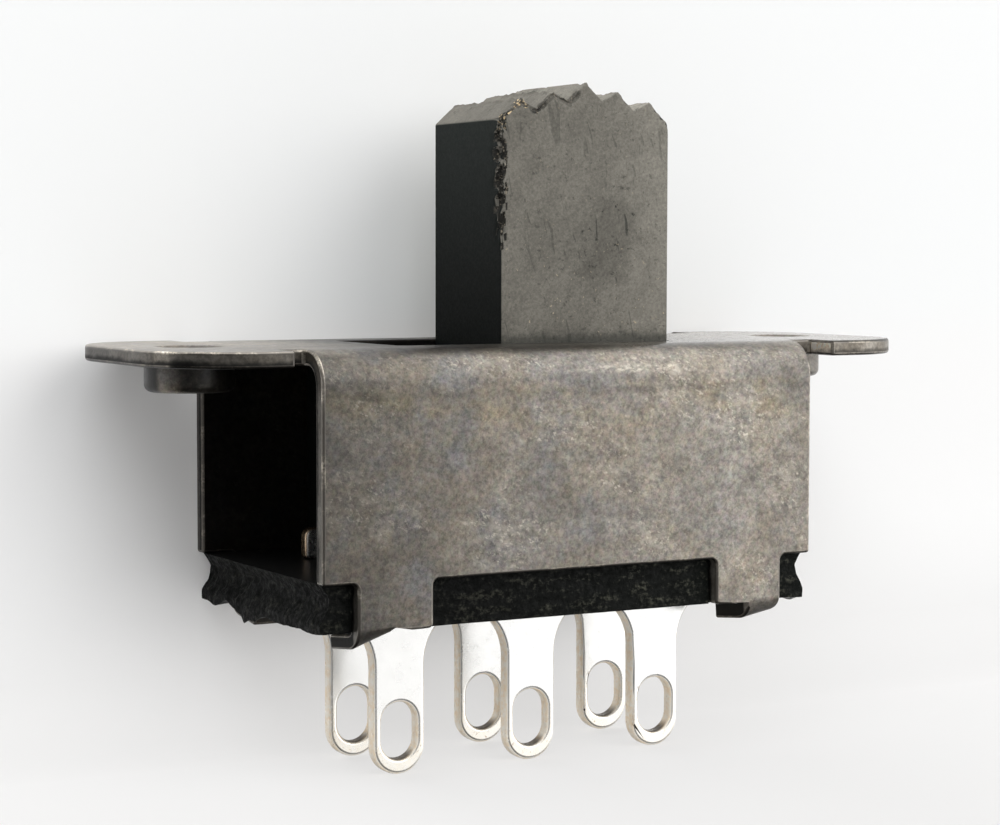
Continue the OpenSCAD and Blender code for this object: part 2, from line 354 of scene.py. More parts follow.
def rounded_copy(
    node: str, name: str, width: float, segments: int = 3, spared: Corners | None = None
) -> bpy.types.Object:
    """Copies a solid and rolls its sharp edges, as a press or a tumbling barrel leaves them.

    Args:
        node: the solid's name.
        name: the piece's name.
        width: width of the rolled edge, in millimetres.
        segments: facets across it.
        spared: tells, for (n, 3) corners in millimetres, which of them stay sharp.

    Returns:
        The new object. The rolled edges carry the piece's second material slot.
    """
    copy = joined_copy(node)
    weights = sharp_weights(copy, spared)
    mesh = bpy.data.meshes.new(name)
    copy.to_mesh(mesh)
    copy.free()
    rolled = mesh.attributes.new("bevel_weight_edge", "FLOAT", "EDGE")
    rolled.data.foreach_set("value", np.maximum(weights, 0))
    piece = linked(name, mesh)
    mesh.polygons.foreach_set("use_smooth", np.ones(len(mesh.polygons), bool))
    mesh.edges.foreach_set("use_edge_sharp", weights < 0)
    for _ in range(3):
        mesh.materials.append(None)
    bevel = piece.modifiers.new("rolled_edges", "BEVEL")
    bevel.width = width * MM
    bevel.segments = segments
    bevel.limit_method = "WEIGHT"
    bevel.use_clamp_overlap = False
    bevel.harden_normals = True
    bevel.miter_outer = "MITER_ARC"
    bevel.material = 1
    rolled_piece = piece.evaluated_get(bpy.context.evaluated_depsgraph_get())
    settled = bpy.data.meshes.new_from_object(rolled_piece)
    piece.modifiers.clear()
    piece.data = settled
    settled.name = name
    bpy.data.meshes.remove(mesh)
    return piece


# ---- Materials -------------------------------------------------------------------------


RAMP_INPUTS = ("Value", "From Min", "From Max", "To Min", "To Max")
MOST = (0.3, 0.7)  # the span that holds nearly all of a noise's values


class Along(Enum):
    """What a slope follows: a place or the surface's true direction, its axis, and its size.

    The last value tells whether the size is taken, whichever way it points.
    """

    X = ("Object", "X", False)
    Y = ("Object", "Y", False)
    Z = ("Object", "Z", False)
    OFF_MIDDLE = ("Object", "X", True)
    FACING_X = ("Normal", "X", False)
    FACING_Z = ("Normal", "Z", False)
    FLANK_X = ("Normal", "X", True)
    FLANK_Y = ("Normal", "Y", True)
    FLANK_Z = ("Normal", "Z", True)


@dataclass(frozen=True)
class Slope:
    """A smooth ramp over a place, in millimetres, or over the surface's direction."""

    along: Along
    low: float
    high: float
    start: float = 0
    end: float = 1


Region = tuple[Slope, ...]


@dataclass(frozen=True)
class Mottle:
    """A layer of noise, and how its values turn into shares or factors.

    Its blotches are about size millimetres across, stretched by a scale along the axes of a
    frame that is turned by degrees. A smooth ramp carries values onto shares.
    """

    size: float
    detail: float = 2
    roughness: float = 0.5
    values: Span = MOST
    shares: Span = (0, 1)
    scale: Triple | None = None
    turn: Triple = (0, 0, 0)
    distortion: float = 0


class NodeGraph:
    """A node tree, with short calls for the nodes that the finishes and the room use."""

    def __init__(self, tree: bpy.types.NodeTree) -> None:
        """Empties a tree to fill it again."""
        self.tree = tree
        tree.nodes.clear()

    def node(self, kind: str, output: str | int, inputs: dict, **settings: str) -> Socket:
        """Adds a node and feeds its inputs.

        Args:
            kind: Blender's name of the node's type.
            output: name or number of the output that is wanted.
            inputs: numbers, colours or other nodes' outputs, by the inputs' names or numbers.
            settings: properties to set on the node first.

        Returns:
            The output.
        """
        made = self.tree.nodes.new(kind)
        for key, value in settings.items():
            setattr(made, key, value)
        for key, value in inputs.items():
            self.feed(made.inputs[key], value)
        return made.outputs[output]

    def feed(self, socket: Socket, value: Paint) -> None:
        """Links a socket to another, or sets its value.

        Args:
            socket: the input.
            value: another node's output, a number or a colour.
        """
        if isinstance(value, bpy.types.NodeSocket):
            self.tree.links.new(value, socket)
        elif isinstance(value, tuple) and len(value) == 3 and len(socket.default_value) == 4:
            socket.default_value = (*value, 1)
        else:
            socket.default_value = value

    def ramp(self, value: Socket, *ends: float) -> Socket:
        """Carries a value smoothly from a span onto another (0 to 1), and holds it outside."""
        inputs = dict(zip(RAMP_INPUTS, (value, *ends)))
        return self.node("ShaderNodeMapRange", 0, inputs, interpolation_type="SMOOTHSTEP")

    def math(self, operation: str, a: Value, b: Value = 0.0) -> Socket:
        """Does one sum, by Blender's name of it, on two values."""
        return self.node("ShaderNodeMath", 0, {0: a, 1: b}, operation=operation)

    def times(self, *values: Value) -> Socket:
        """Multiplies values."""
        return reduce(partial(self.math, "MULTIPLY"), values)

    def plus(self, *values: Value) -> Socket:
        """Adds values."""
        return reduce(partial(self.math, "ADD"), values)

    def rest(self, value: Value) -> Socket:
        """What is left of 1."""
        return self.math("SUBTRACT", 1.0, value)

    def blend(self, share: Value, first: Paint, second: Paint, kind: str = "MIX") -> Socket:
        """Mixes two colours, with a share of the second from 0 to 1."""
        inputs = {0: share, 6: first, 7: second}
        return self.node("ShaderNodeMix", 2, inputs, data_type="RGBA", blend_type=kind)

    def shaded(self, base: Paint, factor: Value) -> Socket:
        """Multiplies a colour by a factor."""
        return self.blend(1.0, base, factor, "MULTIPLY")

    def dimmed(self, share: Socket, factor: float) -> Socket:
        """A factor for a colour: one where the share is 0, and the given one where it is 1."""
        return self.ramp(share, 0, 1, 1.0, factor)

    def axis(self, vector: Socket, name: str) -> Socket:
        """One component of a vector."""
        return self.node("ShaderNodeSeparateXYZ", name, {0: vector})

    def layered(self, share: Value, first: Socket, second: Socket) -> Socket:
        """Mixes two shaders, with a share of the second from 0 to 1."""
        return self.node("ShaderNodeMixShader", 0, {0: share, 1: first, 2: second})


class Finish(NodeGraph):
    """A new material whose nodes end in one Principled shader."""

    def __init__(self, name: str) -> None:
        """Starts the material.

        Args:
            name: the material's name.
        """
        self.material = bpy.data.materials.new(name)
        self.material.use_nodes = True
        super().__init__(self.material.node_tree)
        self.output = self.tree.nodes.new("ShaderNodeOutputMaterial").inputs["Surface"]
        self.shader = self.tree.nodes.new("ShaderNodeBsdfPrincipled")
        self.feed(self.output, self.shader.outputs[0])
        self.place = self.node("ShaderNodeTexCoord", "Object", {})

    def set(self, **inputs: Paint) -> None:
        """Feeds the shader's inputs, named with underscores for spaces."""
        for key, value in inputs.items():
            self.feed(self.shader.inputs[key.replace("_", " ")], value)

    def mapped(self, **frame_inputs: Triple) -> Socket:
        """Object coordinates in a frame with a Location, Rotation in radians and Scale."""
        inputs = {"Vector": self.place, **frame_inputs}
        return self.node("ShaderNodeMapping", 0, inputs, vector_type="TEXTURE")

    def noise(self, layer: Mottle, output: str = "Fac") -> Socket:
        """Adds a layer of noise.

        Args:
            layer: its blotches.
            output: Fac for values or Color for a colour.

        Returns:
            The noise.
        """
        place = self.place
        if layer.scale is not None:
            turn = tuple(math.radians(angle) for angle in layer.turn)
            place = self.mapped(Scale=tuple(1 / share for share in layer.scale), Rotation=turn)
        inputs = {"Vector": place, "Scale": 1 / (layer.size * MM), "Distortion": layer.distortion}
        inputs.update(Detail=layer.detail, Roughness=layer.roughness)
        return self.node("ShaderNodeTexNoise", output, inputs)

    def mottled(self, layer: Mottle) -> Socket:
        """A layer of noise, carried from its values onto its shares."""
        return self.ramp(self.noise(layer), *layer.values, *layer.shares)

    def follow(self, slope: Slope) -> Socket:
        """Adds one slope.

        Args:
            slope: what it follows, and how.

        Returns:
            Its share or factor.
        """
        source, name, size = slope.along.value
        unit = MM if source == "Object" else 1
        place = self.place if source == "Object" else self.node("ShaderNodeNewGeometry", source, {})
        value = self.axis(place, name)
        if size:
            value = self.math("ABSOLUTE", value)
        return self.ramp(value, slope.low * unit, slope.high * unit, slope.start, slope.end)

    def within(self, *slopes: Slope) -> Socket:
        """The product of slopes: a region's share, or a factor that changes over it."""
        return self.times(*(self.follow(slope) for slope in slopes))

    def wandering(self, layer: Mottle, reach: float, low: float, high: float) -> Socket:
        """A ramp over height whose level wanders with noise by up to reach millimetres."""
        height = self.plus(self.axis(self.place, "Z"), self.times(self.noise(layer), reach * MM))
        return self.ramp(height, low * MM, high * MM)

    def bump(self, height: Socket, depth: float, strength: float = 1) -> Socket:
        """Relief of depth millimetres from a height of 0 to 1, by a strength of 0 to 1."""
        inputs = {"Strength": strength, "Distance": depth * MM, "Height": height}
        return self.node("ShaderNodeBump", 0, inputs)


class Recipe:
    """How one finish is made: its fields hold colours, layers and regions, and paint uses them."""

    def material(self) -> bpy.types.Material:
        """Builds the finish as a new material.

        Returns:
            The material.
        """
        g = Finish(self.name)
        self.paint(g)
        return g.material


@dataclass(frozen=True)
class Sheet:
    """Where the frame's outer skin lies, and where painted shade and highlights lie on its left
    ear.

    The painted marks run across the ear along a slanting line through the collar's axis, and each
    one has a span where it starts and a span where it ends, in millimetres from that axis.
    """

    half_w: float = 6.35
    bend_r: float = 1.4
    half_l: float = 11.5
    window: Span = (7.2, 3.4)
    collar_x: float = -14.29
    # The turn, collar, streak, rim and spots below place painted shade and painted highlights on
    # the left ear.
    smear_turn: float = 29
    collar: Region = (Slope(Along.Z, -0.64, -0.7), Slope(Along.X, -11.6, -11.8))
    streak: tuple[Span, Span] = ((-1.2, -0.8), (-0.45, 0.1))
    streak_factors: tuple[Span, Span] = ((0.05, 1.1), (1.0, 0.26))
    rim: Region = (Slope(Along.X, -12.2, -12.4), Slope(Along.Y, 0.0, -0.5))
    pale_spot: tuple[Span, Span] = ((-0.9, -0.65), (0.0, -0.25))
    dark_spot: tuple[Span, Span] = ((-0.2, 0.1), (1.2, 0.6))
    dark_top: Slope = Slope(Along.Z, -0.2, -0.42)
    spot_strength: Span = (0.9, 0.8)

    def depth(self, g: Finish) -> Socket:
        """Works out the depth under the outer skin.

        On the channel it is a rounded corner's distance field in Y and Z: the bend radius,
        less the length of the outward part, less the larger of the two while both point
        inward. On the ears it is the depth below the top face.

        Args:
            g: the material's nodes.

        Returns:
            The depth in millimetres.
        """
        x, y, z = (g.times(g.axis(g.place, name), 1 / MM) for name in "XYZ")
        across = g.math("SUBTRACT", g.math("ABSOLUTE", y), self.half_w - self.bend_r)
        rise = g.plus(z, self.bend_r)
        squares = (g.math("POWER", g.math("MAXIMUM", part, 0.0), 2.0) for part in (across, rise))
        inner = g.math("MINIMUM", g.math("MAXIMUM", across, rise), 0.0)
        channel = g.math("SUBTRACT", self.bend_r, g.plus(g.math("SQRT", g.plus(*squares)), inner))
        on_ear = g.math("GREATER_THAN", g.math("ABSOLUTE", x), self.half_l)
        return g.plus(g.times(on_ear, g.times(z, -1.0)), g.times(g.rest(on_ear), channel))

    def greased(self, g: Finish, factor: float) -> Socket:
        """Paints shade into the knob's window, a recess where shade falls.

        Args:
            g: the material's nodes.
            factor: how much of the colour is left there.

        Returns:
            A factor for the colour, one elsewhere.
        """
        places = (g.times(g.math("ABSOLUTE", g.axis(g.place, name)), 1 / MM) for name in "XY")
        inside = (g.math("LESS_THAN", place, edge) for place, edge in zip(places, self.window))
        # Painted shade over the window.
        return g.dimmed(g.times(*inside), factor)

    def across_collar(self, g: Finish) -> Socket:
        """Works out the place across the left ear, along a line that runs forward and left.

        It is X less the collar's X and less Y, weighed by the cosine and sine of the line's
        angle, so that it is zero on the collar's axis.

        Args:
            g: the material's nodes.

        Returns:
            The place in millimetres.
        """
        x, y = (g.times(g.axis(g.place, name), 1 / MM) for name in "XY")
        turn = math.radians(self.smear_turn)
        along = g.times(g.math("SUBTRACT", x, self.collar_x), math.cos(turn))
        return g.math("SUBTRACT", along, g.times(y, math.sin(turn)))

    def smeared(self, g: Finish) -> Socket:
        """Paints shade over the left collar, but for one painted highlight streak.

        Args:
            g: the material's nodes.

        Returns:
            A factor for the colour, one elsewhere.
        """
        across = self.across_collar(g)
        steps = zip(self.streak, self.streak_factors)
        streak = g.times(*(g.ramp(across, *ends, *factors) for ends, factors in steps))
        # Painted shade on the collar, with one painted highlight streak.
        return g.plus(1.0, g.times(g.within(*self.collar), g.math("SUBTRACT", streak, 1.0)))

    def smeared_rim(self, g: Finish) -> Socket:
        """Gives the left ear's cut edge a painted highlight spot and a painted shade spot beside
        it.

        Args:
            g: the material's nodes.

        Returns:
            A factor for the colour, one elsewhere.
        """
        across = self.across_collar(g)
        pale, dark = (
            g.times(*(g.ramp(across, *ends) for ends in spot), strength)
            for spot, strength in zip((self.pale_spot, self.dark_spot), self.spot_strength)
        )
        # Painted highlight spot, less a painted shade spot.
        spots = g.math("SUBTRACT", pale, g.times(dark, g.within(self.dark_top)))
        return g.plus(1.0, g.times(g.within(*self.rim), spots))


@dataclass(frozen=True)
class TarnishedPlate(Recipe):
    """Dull plating on steel: a fine crystal speckle under brown and blue-grey clouds.

    The colour is grey with wide brown and blue clouds and an ochre stain along the bends; painted
    shade darkens it towards the open left end and on the inside. Two layers of fine grain multiply
    it and small cream flecks lie on top, more of them on the bend as a painted highlight. Relief
    comes from the same grain. The flange's top is rubbed smoother to the right.
    """

    name: str = "tarnished_plate"
    grey: Colour = (0.205, 0.187, 0.163)
    brown: Colour = (0.222, 0.193, 0.155)
    blue: Colour = (0.184, 0.18, 0.18)
    ochre: Colour = (0.29, 0.235, 0.14)
    cream: Colour = (0.72, 0.66, 0.55)
    brown_clouds: Mottle = Mottle(2.8, 3, 0.6, (0.38, 0.64))
    blue_clouds: Mottle = Mottle(1.9, 3, 0.6, (0.46, 0.7), (0, 0.8), (1, 1, 1), (40, 20, 70))
    blue_side: Slope = Slope(Along.X, -4, 6, 1.0, 0.3)
    stain: Mottle = Mottle(1.3, 4, 0.65, (0.4, 0.66), (0, 0.5), (0.45, 1, 1))
    stain_band: Region = (Slope(Along.Z, -1.2, -1.8), Slope(Along.Z, -4.4, -2.2))
    coarse: Mottle = Mottle(0.256, 3, 0.7)
    fine: Mottle = Mottle(0.096, 2, 0.7, scale=(1, 1, 0.8), turn=(20, 45, 10))
    grain_weights: Span = (0.6, 0.4)
    grain_factors: Span = (0.56, 1.46)
    tones: Mottle = Mottle(1.1, 4, 0.65, (0.34, 0.66), (0.84, 1.16), (0.7, 1, 1), (0, 15, 30))
    tint: Mottle = Mottle(0.208)
    tint_share: float = 0.14
    flecks: Mottle = Mottle(0.176, 2, 0.7, (0.52, 0.76), scale=(0.8, 1, 1.2), turn=(0, 35, 10))
    patches: Mottle = Mottle(2.6, 3, 0.6, (0.45, 0.66), (0.05, 0.6), (0.7, 1, 1.2), (0, 20, 0))
    haze: Mottle = Mottle(0.8, 4, 0.7, (0.44, 0.7), (0, 0.38), (0.6, 1, 1.5), (0, 12, 0))
    # Painted highlights: extra cream flecks on the bend, and a gleam by the knob.
    bend: Region = (Slope(Along.Z, -1.2, -0.8), Slope(Along.Z, -0.1, -0.4))
    bend_patches: Mottle = Mottle(2.0, 2, 0.5, (0.4, 0.6), (0.1, 0.5))
    gleam_x: Region = (Slope(Along.X, -1, 1.2), Slope(Along.X, 5, 4.3))
    gleam_z: Region = (Slope(Along.Z, -1.2, -1), Slope(Along.Z, -0.74, -0.9))
    gleam_clouds: Mottle = Mottle(0.8, 2, 0.5, (0.36, 0.6), (0.4, 1.0))
    gleam_flecks: Mottle = Mottle(0.15, 3, 0.7, (0.44, 0.6), (0.06, 0.58), (0.5, 1, 1))
    # Regions of painted light and shade: the plates darker towards the open end with a lit strip on
    # its edge, painted shade at the right end, under the glare, in the crease, around the knob and
    # inside, and a painted reflection on the ears' top.
    plates_x: Region = (Slope(Along.X, -13, -2.5, 0.35, 0.88), Slope(Along.X, -3, 9, 1.0, 1.36))
    open_edge: Slope = Slope(Along.X, -12.2, -12.8, 0.0, 0.72)
    right_end: Slope = Slope(Along.X, 7.5, 12.5, 1.0, 0.78)
    glare: Region = (Slope(Along.Z, -3.8, -1.5), Slope(Along.X, 3, 8, 0, 0.14))
    crease: Mottle = Mottle(2.2, 2, 0.6, (0.28, 0.6), (0, 0.26), (1, 1, 0.1))
    crease_band: Region = (Slope(Along.Z, -1.58, -1.78), Slope(Along.Z, -2.1, -1.82))
    top: Slope = Slope(Along.FACING_Z, 0.75, 0.97)
    top_ears: Slope = Slope(Along.OFF_MIDDLE, 6.5, 11.5, 0.56, 1.5)
    top_right: Slope = Slope(Along.X, 0.0, 10, 1.0, 0.76)
    corner: Region = (Slope(Along.X, -6, -9), Slope(Along.Y, 0.0, -2.8))
    corner_factor: float = 0.68
    grime: Region = (Slope(Along.OFF_MIDDLE, 8.8, 7), Slope(Along.X, 3, 0.5))
    grime_factor: float = 0.5
    inner_depth: Span = (0.58, 0.64)
    inner: Region = (Slope(Along.Z, -0.62, -0.7), Slope(Along.OFF_MIDDLE, 11.55, 11.45))
    inner_factor: float = 0.28
    rubbed: Slope = Slope(Along.X, -4, 7, 0.0, 0.54)
    dullness: Mottle = Mottle(0.5, 3, 0.6, (0.25, 0.75), (0.35, 0.52))
    metallic: float = 0.8
    coat: Span = (0.4, 0.3)
    relief: Span = (0.014, 0.7)
    sheet: Sheet = Sheet()

    def clouded(self, g: Finish, grain: Socket) -> Socket:
        """Lays the clouds, the stain by the bends and the grain over the grey.

        Args:
            g: the material's nodes.
            grain: the speckle's noise.

        Returns:
            The colour.
        """
        base = g.blend(g.mottled(self.brown_clouds), self.grey, self.brown)
        cool = g.times(g.mottled(self.blue_clouds), g.within(self.blue_side))
        base = g.blend(cool, base, self.blue)
        stain = g.times(g.within(*self.stain_band), g.mottled(self.stain))
        base = g.blend(stain, base, self.ochre)
        base = g.shaded(base, g.ramp(grain, *MOST, *self.grain_factors))
        base = g.shaded(base, g.mottled(self.tones))
        return g.blend(self.tint_share, base, g.noise(self.tint, "Color"), "OVERLAY")

    def flecked(self, g: Finish, base: Socket) -> Socket:
        """Lays cream flecks in patches, more on the bend as a painted highlight, and a painted
        highlight by the knob.

        Args:
            g: the material's nodes.
            base: the colour under them.

        Returns:
            The colour.
        """
        patches = g.mottled(self.patches)
        base = g.blend(g.times(g.mottled(self.haze), patches), base, self.cream)
        # Painted highlight on the bend, and by the knob below.
        bend = g.times(g.within(*self.bend), g.mottled(self.bend_patches))
        flecks = g.times(g.mottled(self.flecks), g.math("MAXIMUM", patches, bend))
        base = g.blend(flecks, base, self.cream)
        gleam = g.times(g.mottled(self.gleam_clouds), g.mottled(self.gleam_flecks))
        gleam = g.times(gleam, g.within(*self.gleam_x, *self.gleam_z))
        return g.blend(gleam, base, self.cream)

    def shade(self, g: Finish, top: Socket) -> Socket:
        """Works out the painted light and shade of each region.

        All of it is painted light and shade. The side plates run from dark at the open end to paler
        at the right, with a painted lit strip on the open end's edge and painted shade at the right
        end, and lose a little where the lamp's glare falls. The flange's top has painted shade
        around the knob and a painted reflection, paler on the ears. Painted shade darkens the
        inside, the crease under the bend and the left collar, where one painted highlight streak is
        left.

        Args:
            g: the material's nodes.
            top: the share of faces that look up.

        Returns:
            A factor for the colour.
        """
        # Painted shade and light on the side plates.
        left = g.math("MAXIMUM", g.within(*self.plates_x), g.within(self.open_edge))
        plates = g.times(left, g.within(self.right_end), g.rest(g.within(*self.glare)))
        # Painted shade around the knob, and a painted reflection on the ears' top.
        corner = g.dimmed(g.within(*self.corner), self.corner_factor)
        grime = g.dimmed(g.within(*self.grime), self.grime_factor)
        handled = g.times(g.within(self.top_ears, self.top_right), corner, grime)
        shade = g.plus(g.times(plates, g.rest(top)), g.times(handled, top))
        # Painted shade inside, in the crease and on the left collar.
        inner = g.times(g.ramp(self.sheet.depth(g), *self.inner_depth), g.within(*self.inner))
        crease = g.times(g.within(*self.crease_band), g.mottled(self.crease))
        shade = g.times(shade, g.dimmed(inner, self.inner_factor), g.rest(crease))
        return g.times(shade, self.sheet.smeared(g))

    def paint(self, g: Finish) -> None:
        """Feeds the shader.

        Args:
            g: the new material's nodes.
        """
        layers = zip((self.coarse, self.fine), self.grain_weights)
        grain = g.plus(*(g.times(g.noise(layer), weight) for layer, weight in layers))
        top = g.within(self.top)
        base = g.shaded(self.flecked(g, self.clouded(g, grain)), self.shade(g, top))
        rough = g.times(g.mottled(self.dullness), g.rest(g.times(top, g.within(self.rubbed))))
        relief = g.bump(grain, *self.relief)
        g.set(Base_Color=base, Metallic=self.metallic, Roughness=rough, Normal=relief)
        g.set(Coat_Weight=self.coat[0], Coat_Roughness=self.coat[1])


@dataclass(frozen=True)
class WornEdge(Recipe):
    """The rolled and rubbed edge of the sheet, where paler metal shows in streaks.

    Painted shade darkens it where it faces down, at the left ear's end, around the knob's window
    and across the left ear, which also has a painted highlight spot. Painted highlights brighten
    the fold by the open end, the right relief cut and the left ear's upper edge, and painted shade
    dims the right ear's upper edge.
    """

    name: str = "worn_edge"
    dull: Colour = (0.17, 0.156, 0.138)
    bright: Colour = (0.52, 0.47, 0.39)
    streaks: Mottle = Mottle(1.1, 4, 0.65, (0.46, 0.68))
    grain: Mottle = Mottle(0.1, 2, 0.6)
    grain_span: Span = (0.3, 0.65)
    # From here to dim_end: painted shade and painted highlights on stretches of the edge.
    under: Slope = Slope(Along.FACING_Z, -0.8, -0.1, 0.3, 1.0)
    dull_end: Region = (Slope(Along.X, -11.6, -12.2), Slope(Along.FACING_Z, 0.7, 0.35))
    dull_factor: float = 0.45
    window_factor: float = 0.12
    fold_x: Region = (Slope(Along.X, -11.1, -11.3), Slope(Along.X, -11.9, -11.7))
    fold_z: Region = (Slope(Along.Z, -2.6, -1.2, 0, 0.9), Slope(Along.Z, -0.2, -0.6))
    cut_x: Region = (Slope(Along.X, 11.2, 11.5), Slope(Along.X, 13.4, 12.8))
    cut_z: Region = (Slope(Along.Z, -0.9, -0.6, 0, 0.5), Slope(Along.FACING_Z, 0.5, 0.2))
    upper: Slope = Slope(Along.FACING_Z, 0.2, 0.5)
    lit_end: Slope = Slope(Along.X, -12.2, -12.6, 0, 0.8)
    dim_end: Slope = Slope(Along.X, 11.4, 12.2, 0, 0.62)
    metallic: float = 0.85
    roughness: float = 0.33
    relief: Span = (0.01, 0.7)
    sheet: Sheet = Sheet()

    def shade(self, g: Finish) -> Socket:
        """Works out the painted light and shade on each stretch of the edge.

        Args:
            g: the material's nodes.

        Returns:
            A factor for the colour: the product of the stretches' own factors.
        """
        # Painted shade where the edge faces down and in the knob's window, then painted highlights
        # and shade stretch by stretch.
        shade = g.times(g.within(self.under), self.sheet.greased(g, self.window_factor))
        shade = g.times(shade, g.dimmed(g.within(*self.dull_end), self.dull_factor))
        shade = g.times(shade, self.sheet.smeared(g), self.sheet.smeared_rim(g))
        fold, cut = g.within(*self.fold_x, *self.fold_z), g.within(*self.cut_x, *self.cut_z)
        lit, dim = g.within(self.upper, self.lit_end), g.within(self.upper, self.dim_end)
        ears = g.plus(1.0, g.math("SUBTRACT", lit, dim))
        return g.times(shade, g.plus(1.0, fold, cut), ears)

    def paint(self, g: Finish) -> None:
        """Feeds the shader.

        Args:
            g: the new material's nodes.
        """
        grain = g.noise(self.grain)
        rubbed = g.times(g.mottled(self.streaks), g.ramp(grain, *self.grain_span))
        base = g.shaded(g.blend(rubbed, self.dull, self.bright), self.shade(g))
        relief = g.bump(grain, *self.relief)
        g.set(Base_Color=base, Metallic=self.metallic, Roughness=self.roughness, Normal=relief)


@dataclass(frozen=True)
class ShearedEdge(Recipe):
    """The sheet's cut edge: a burnished band by the outer skin, and a dark torn band below.

    The line between the two wanders with noise. Painted shade blackens the knob's window, the edges
    are painted paler towards the right, a painted highlight brightens the relief cuts, and the left
    ear's edge has a painted highlight spot and a painted shade spot beside it.
    """

    name: str = "sheared_edge"
    burnished: Colour = (0.16, 0.148, 0.13)
    brown: Colour = (0.1, 0.088, 0.072)
    torn: Colour = (0.02, 0.019, 0.017)
    clouds: Mottle = Mottle(1.6, 3, 0.6, (0.38, 0.64))
    streaks: Mottle = Mottle(0.14, 3, 0.6)
    streak_factors: Span = (0.75, 1.25)
    wander: Mottle = Mottle(0.7, 3, 0.6)
    wander_depth: float = 0.35
    torn_depth: Span = (0.3, 0.5)
    torn_right: Slope = Slope(Along.X, 11.2, 11.8, 1.0, 0.6)
    # Painted light: the edge grows paler from left to right.
    rubbing: Slope = Slope(Along.X, -15, 15, 0.8, 1.9)
    window_factor: float = 0.1
    rear: Region = (Slope(Along.Y, 0.0, 1), Slope(Along.X, -11, -11.4))
    rear_factor: float = 0.6
    # Painted highlight on the relief cuts' left-facing walls.
    relief_cut: Region = (Slope(Along.FACING_X, -0.3, -0.8), Slope(Along.X, 11.6, 12.2))
    relief_cut_factor: float = 4.8
    metallic: float = 0.7
    roughness: Span = (0.4, 0.62)
    relief: Span = (0.012, 0.8)
    sheet: Sheet = Sheet()

    def rubbed(self, g: Finish) -> Socket:
        """Works out the painted light and shade on each stretch of the edge, and darkens the rear
        plate's left end.

        Args:
            g: the material's nodes.

        Returns:
            A factor for the colour: the product of the stretches' own factors.
        """
        rear = g.dimmed(g.within(*self.rear), self.rear_factor)
        relief_cut = g.dimmed(g.within(*self.relief_cut), self.relief_cut_factor)
        # Painted light to the right, and painted shade in the knob's window.
        shade = g.times(g.within(self.rubbing), self.sheet.greased(g, self.window_factor))
        return g.times(shade, rear, relief_cut, self.sheet.smeared_rim(g))

    def paint(self, g: Finish) -> None:
        """Feeds the shader.

        Args:
            g: the new material's nodes.
        """
        wander = g.times(g.math("SUBTRACT", g.noise(self.wander), 0.5), self.wander_depth)
        depth = g.plus(self.sheet.depth(g), wander)
        streak = g.noise(self.streaks)
        skin = g.blend(g.mottled(self.clouds), self.burnished, self.brown)
        skin = g.shaded(skin, g.ramp(streak, *MOST, *self.streak_factors))
        torn = g.times(g.ramp(depth, *self.torn_depth), g.within(self.torn_right))
        base = g.shaded(g.blend(torn, skin, self.torn), self.rubbed(g))
        rough = g.ramp(depth, *self.torn_depth, *self.roughness)
        relief = g.bump(streak, *self.relief)
        g.set(Base_Color=base, Metallic=self.metallic, Roughness=rough, Normal=relief)


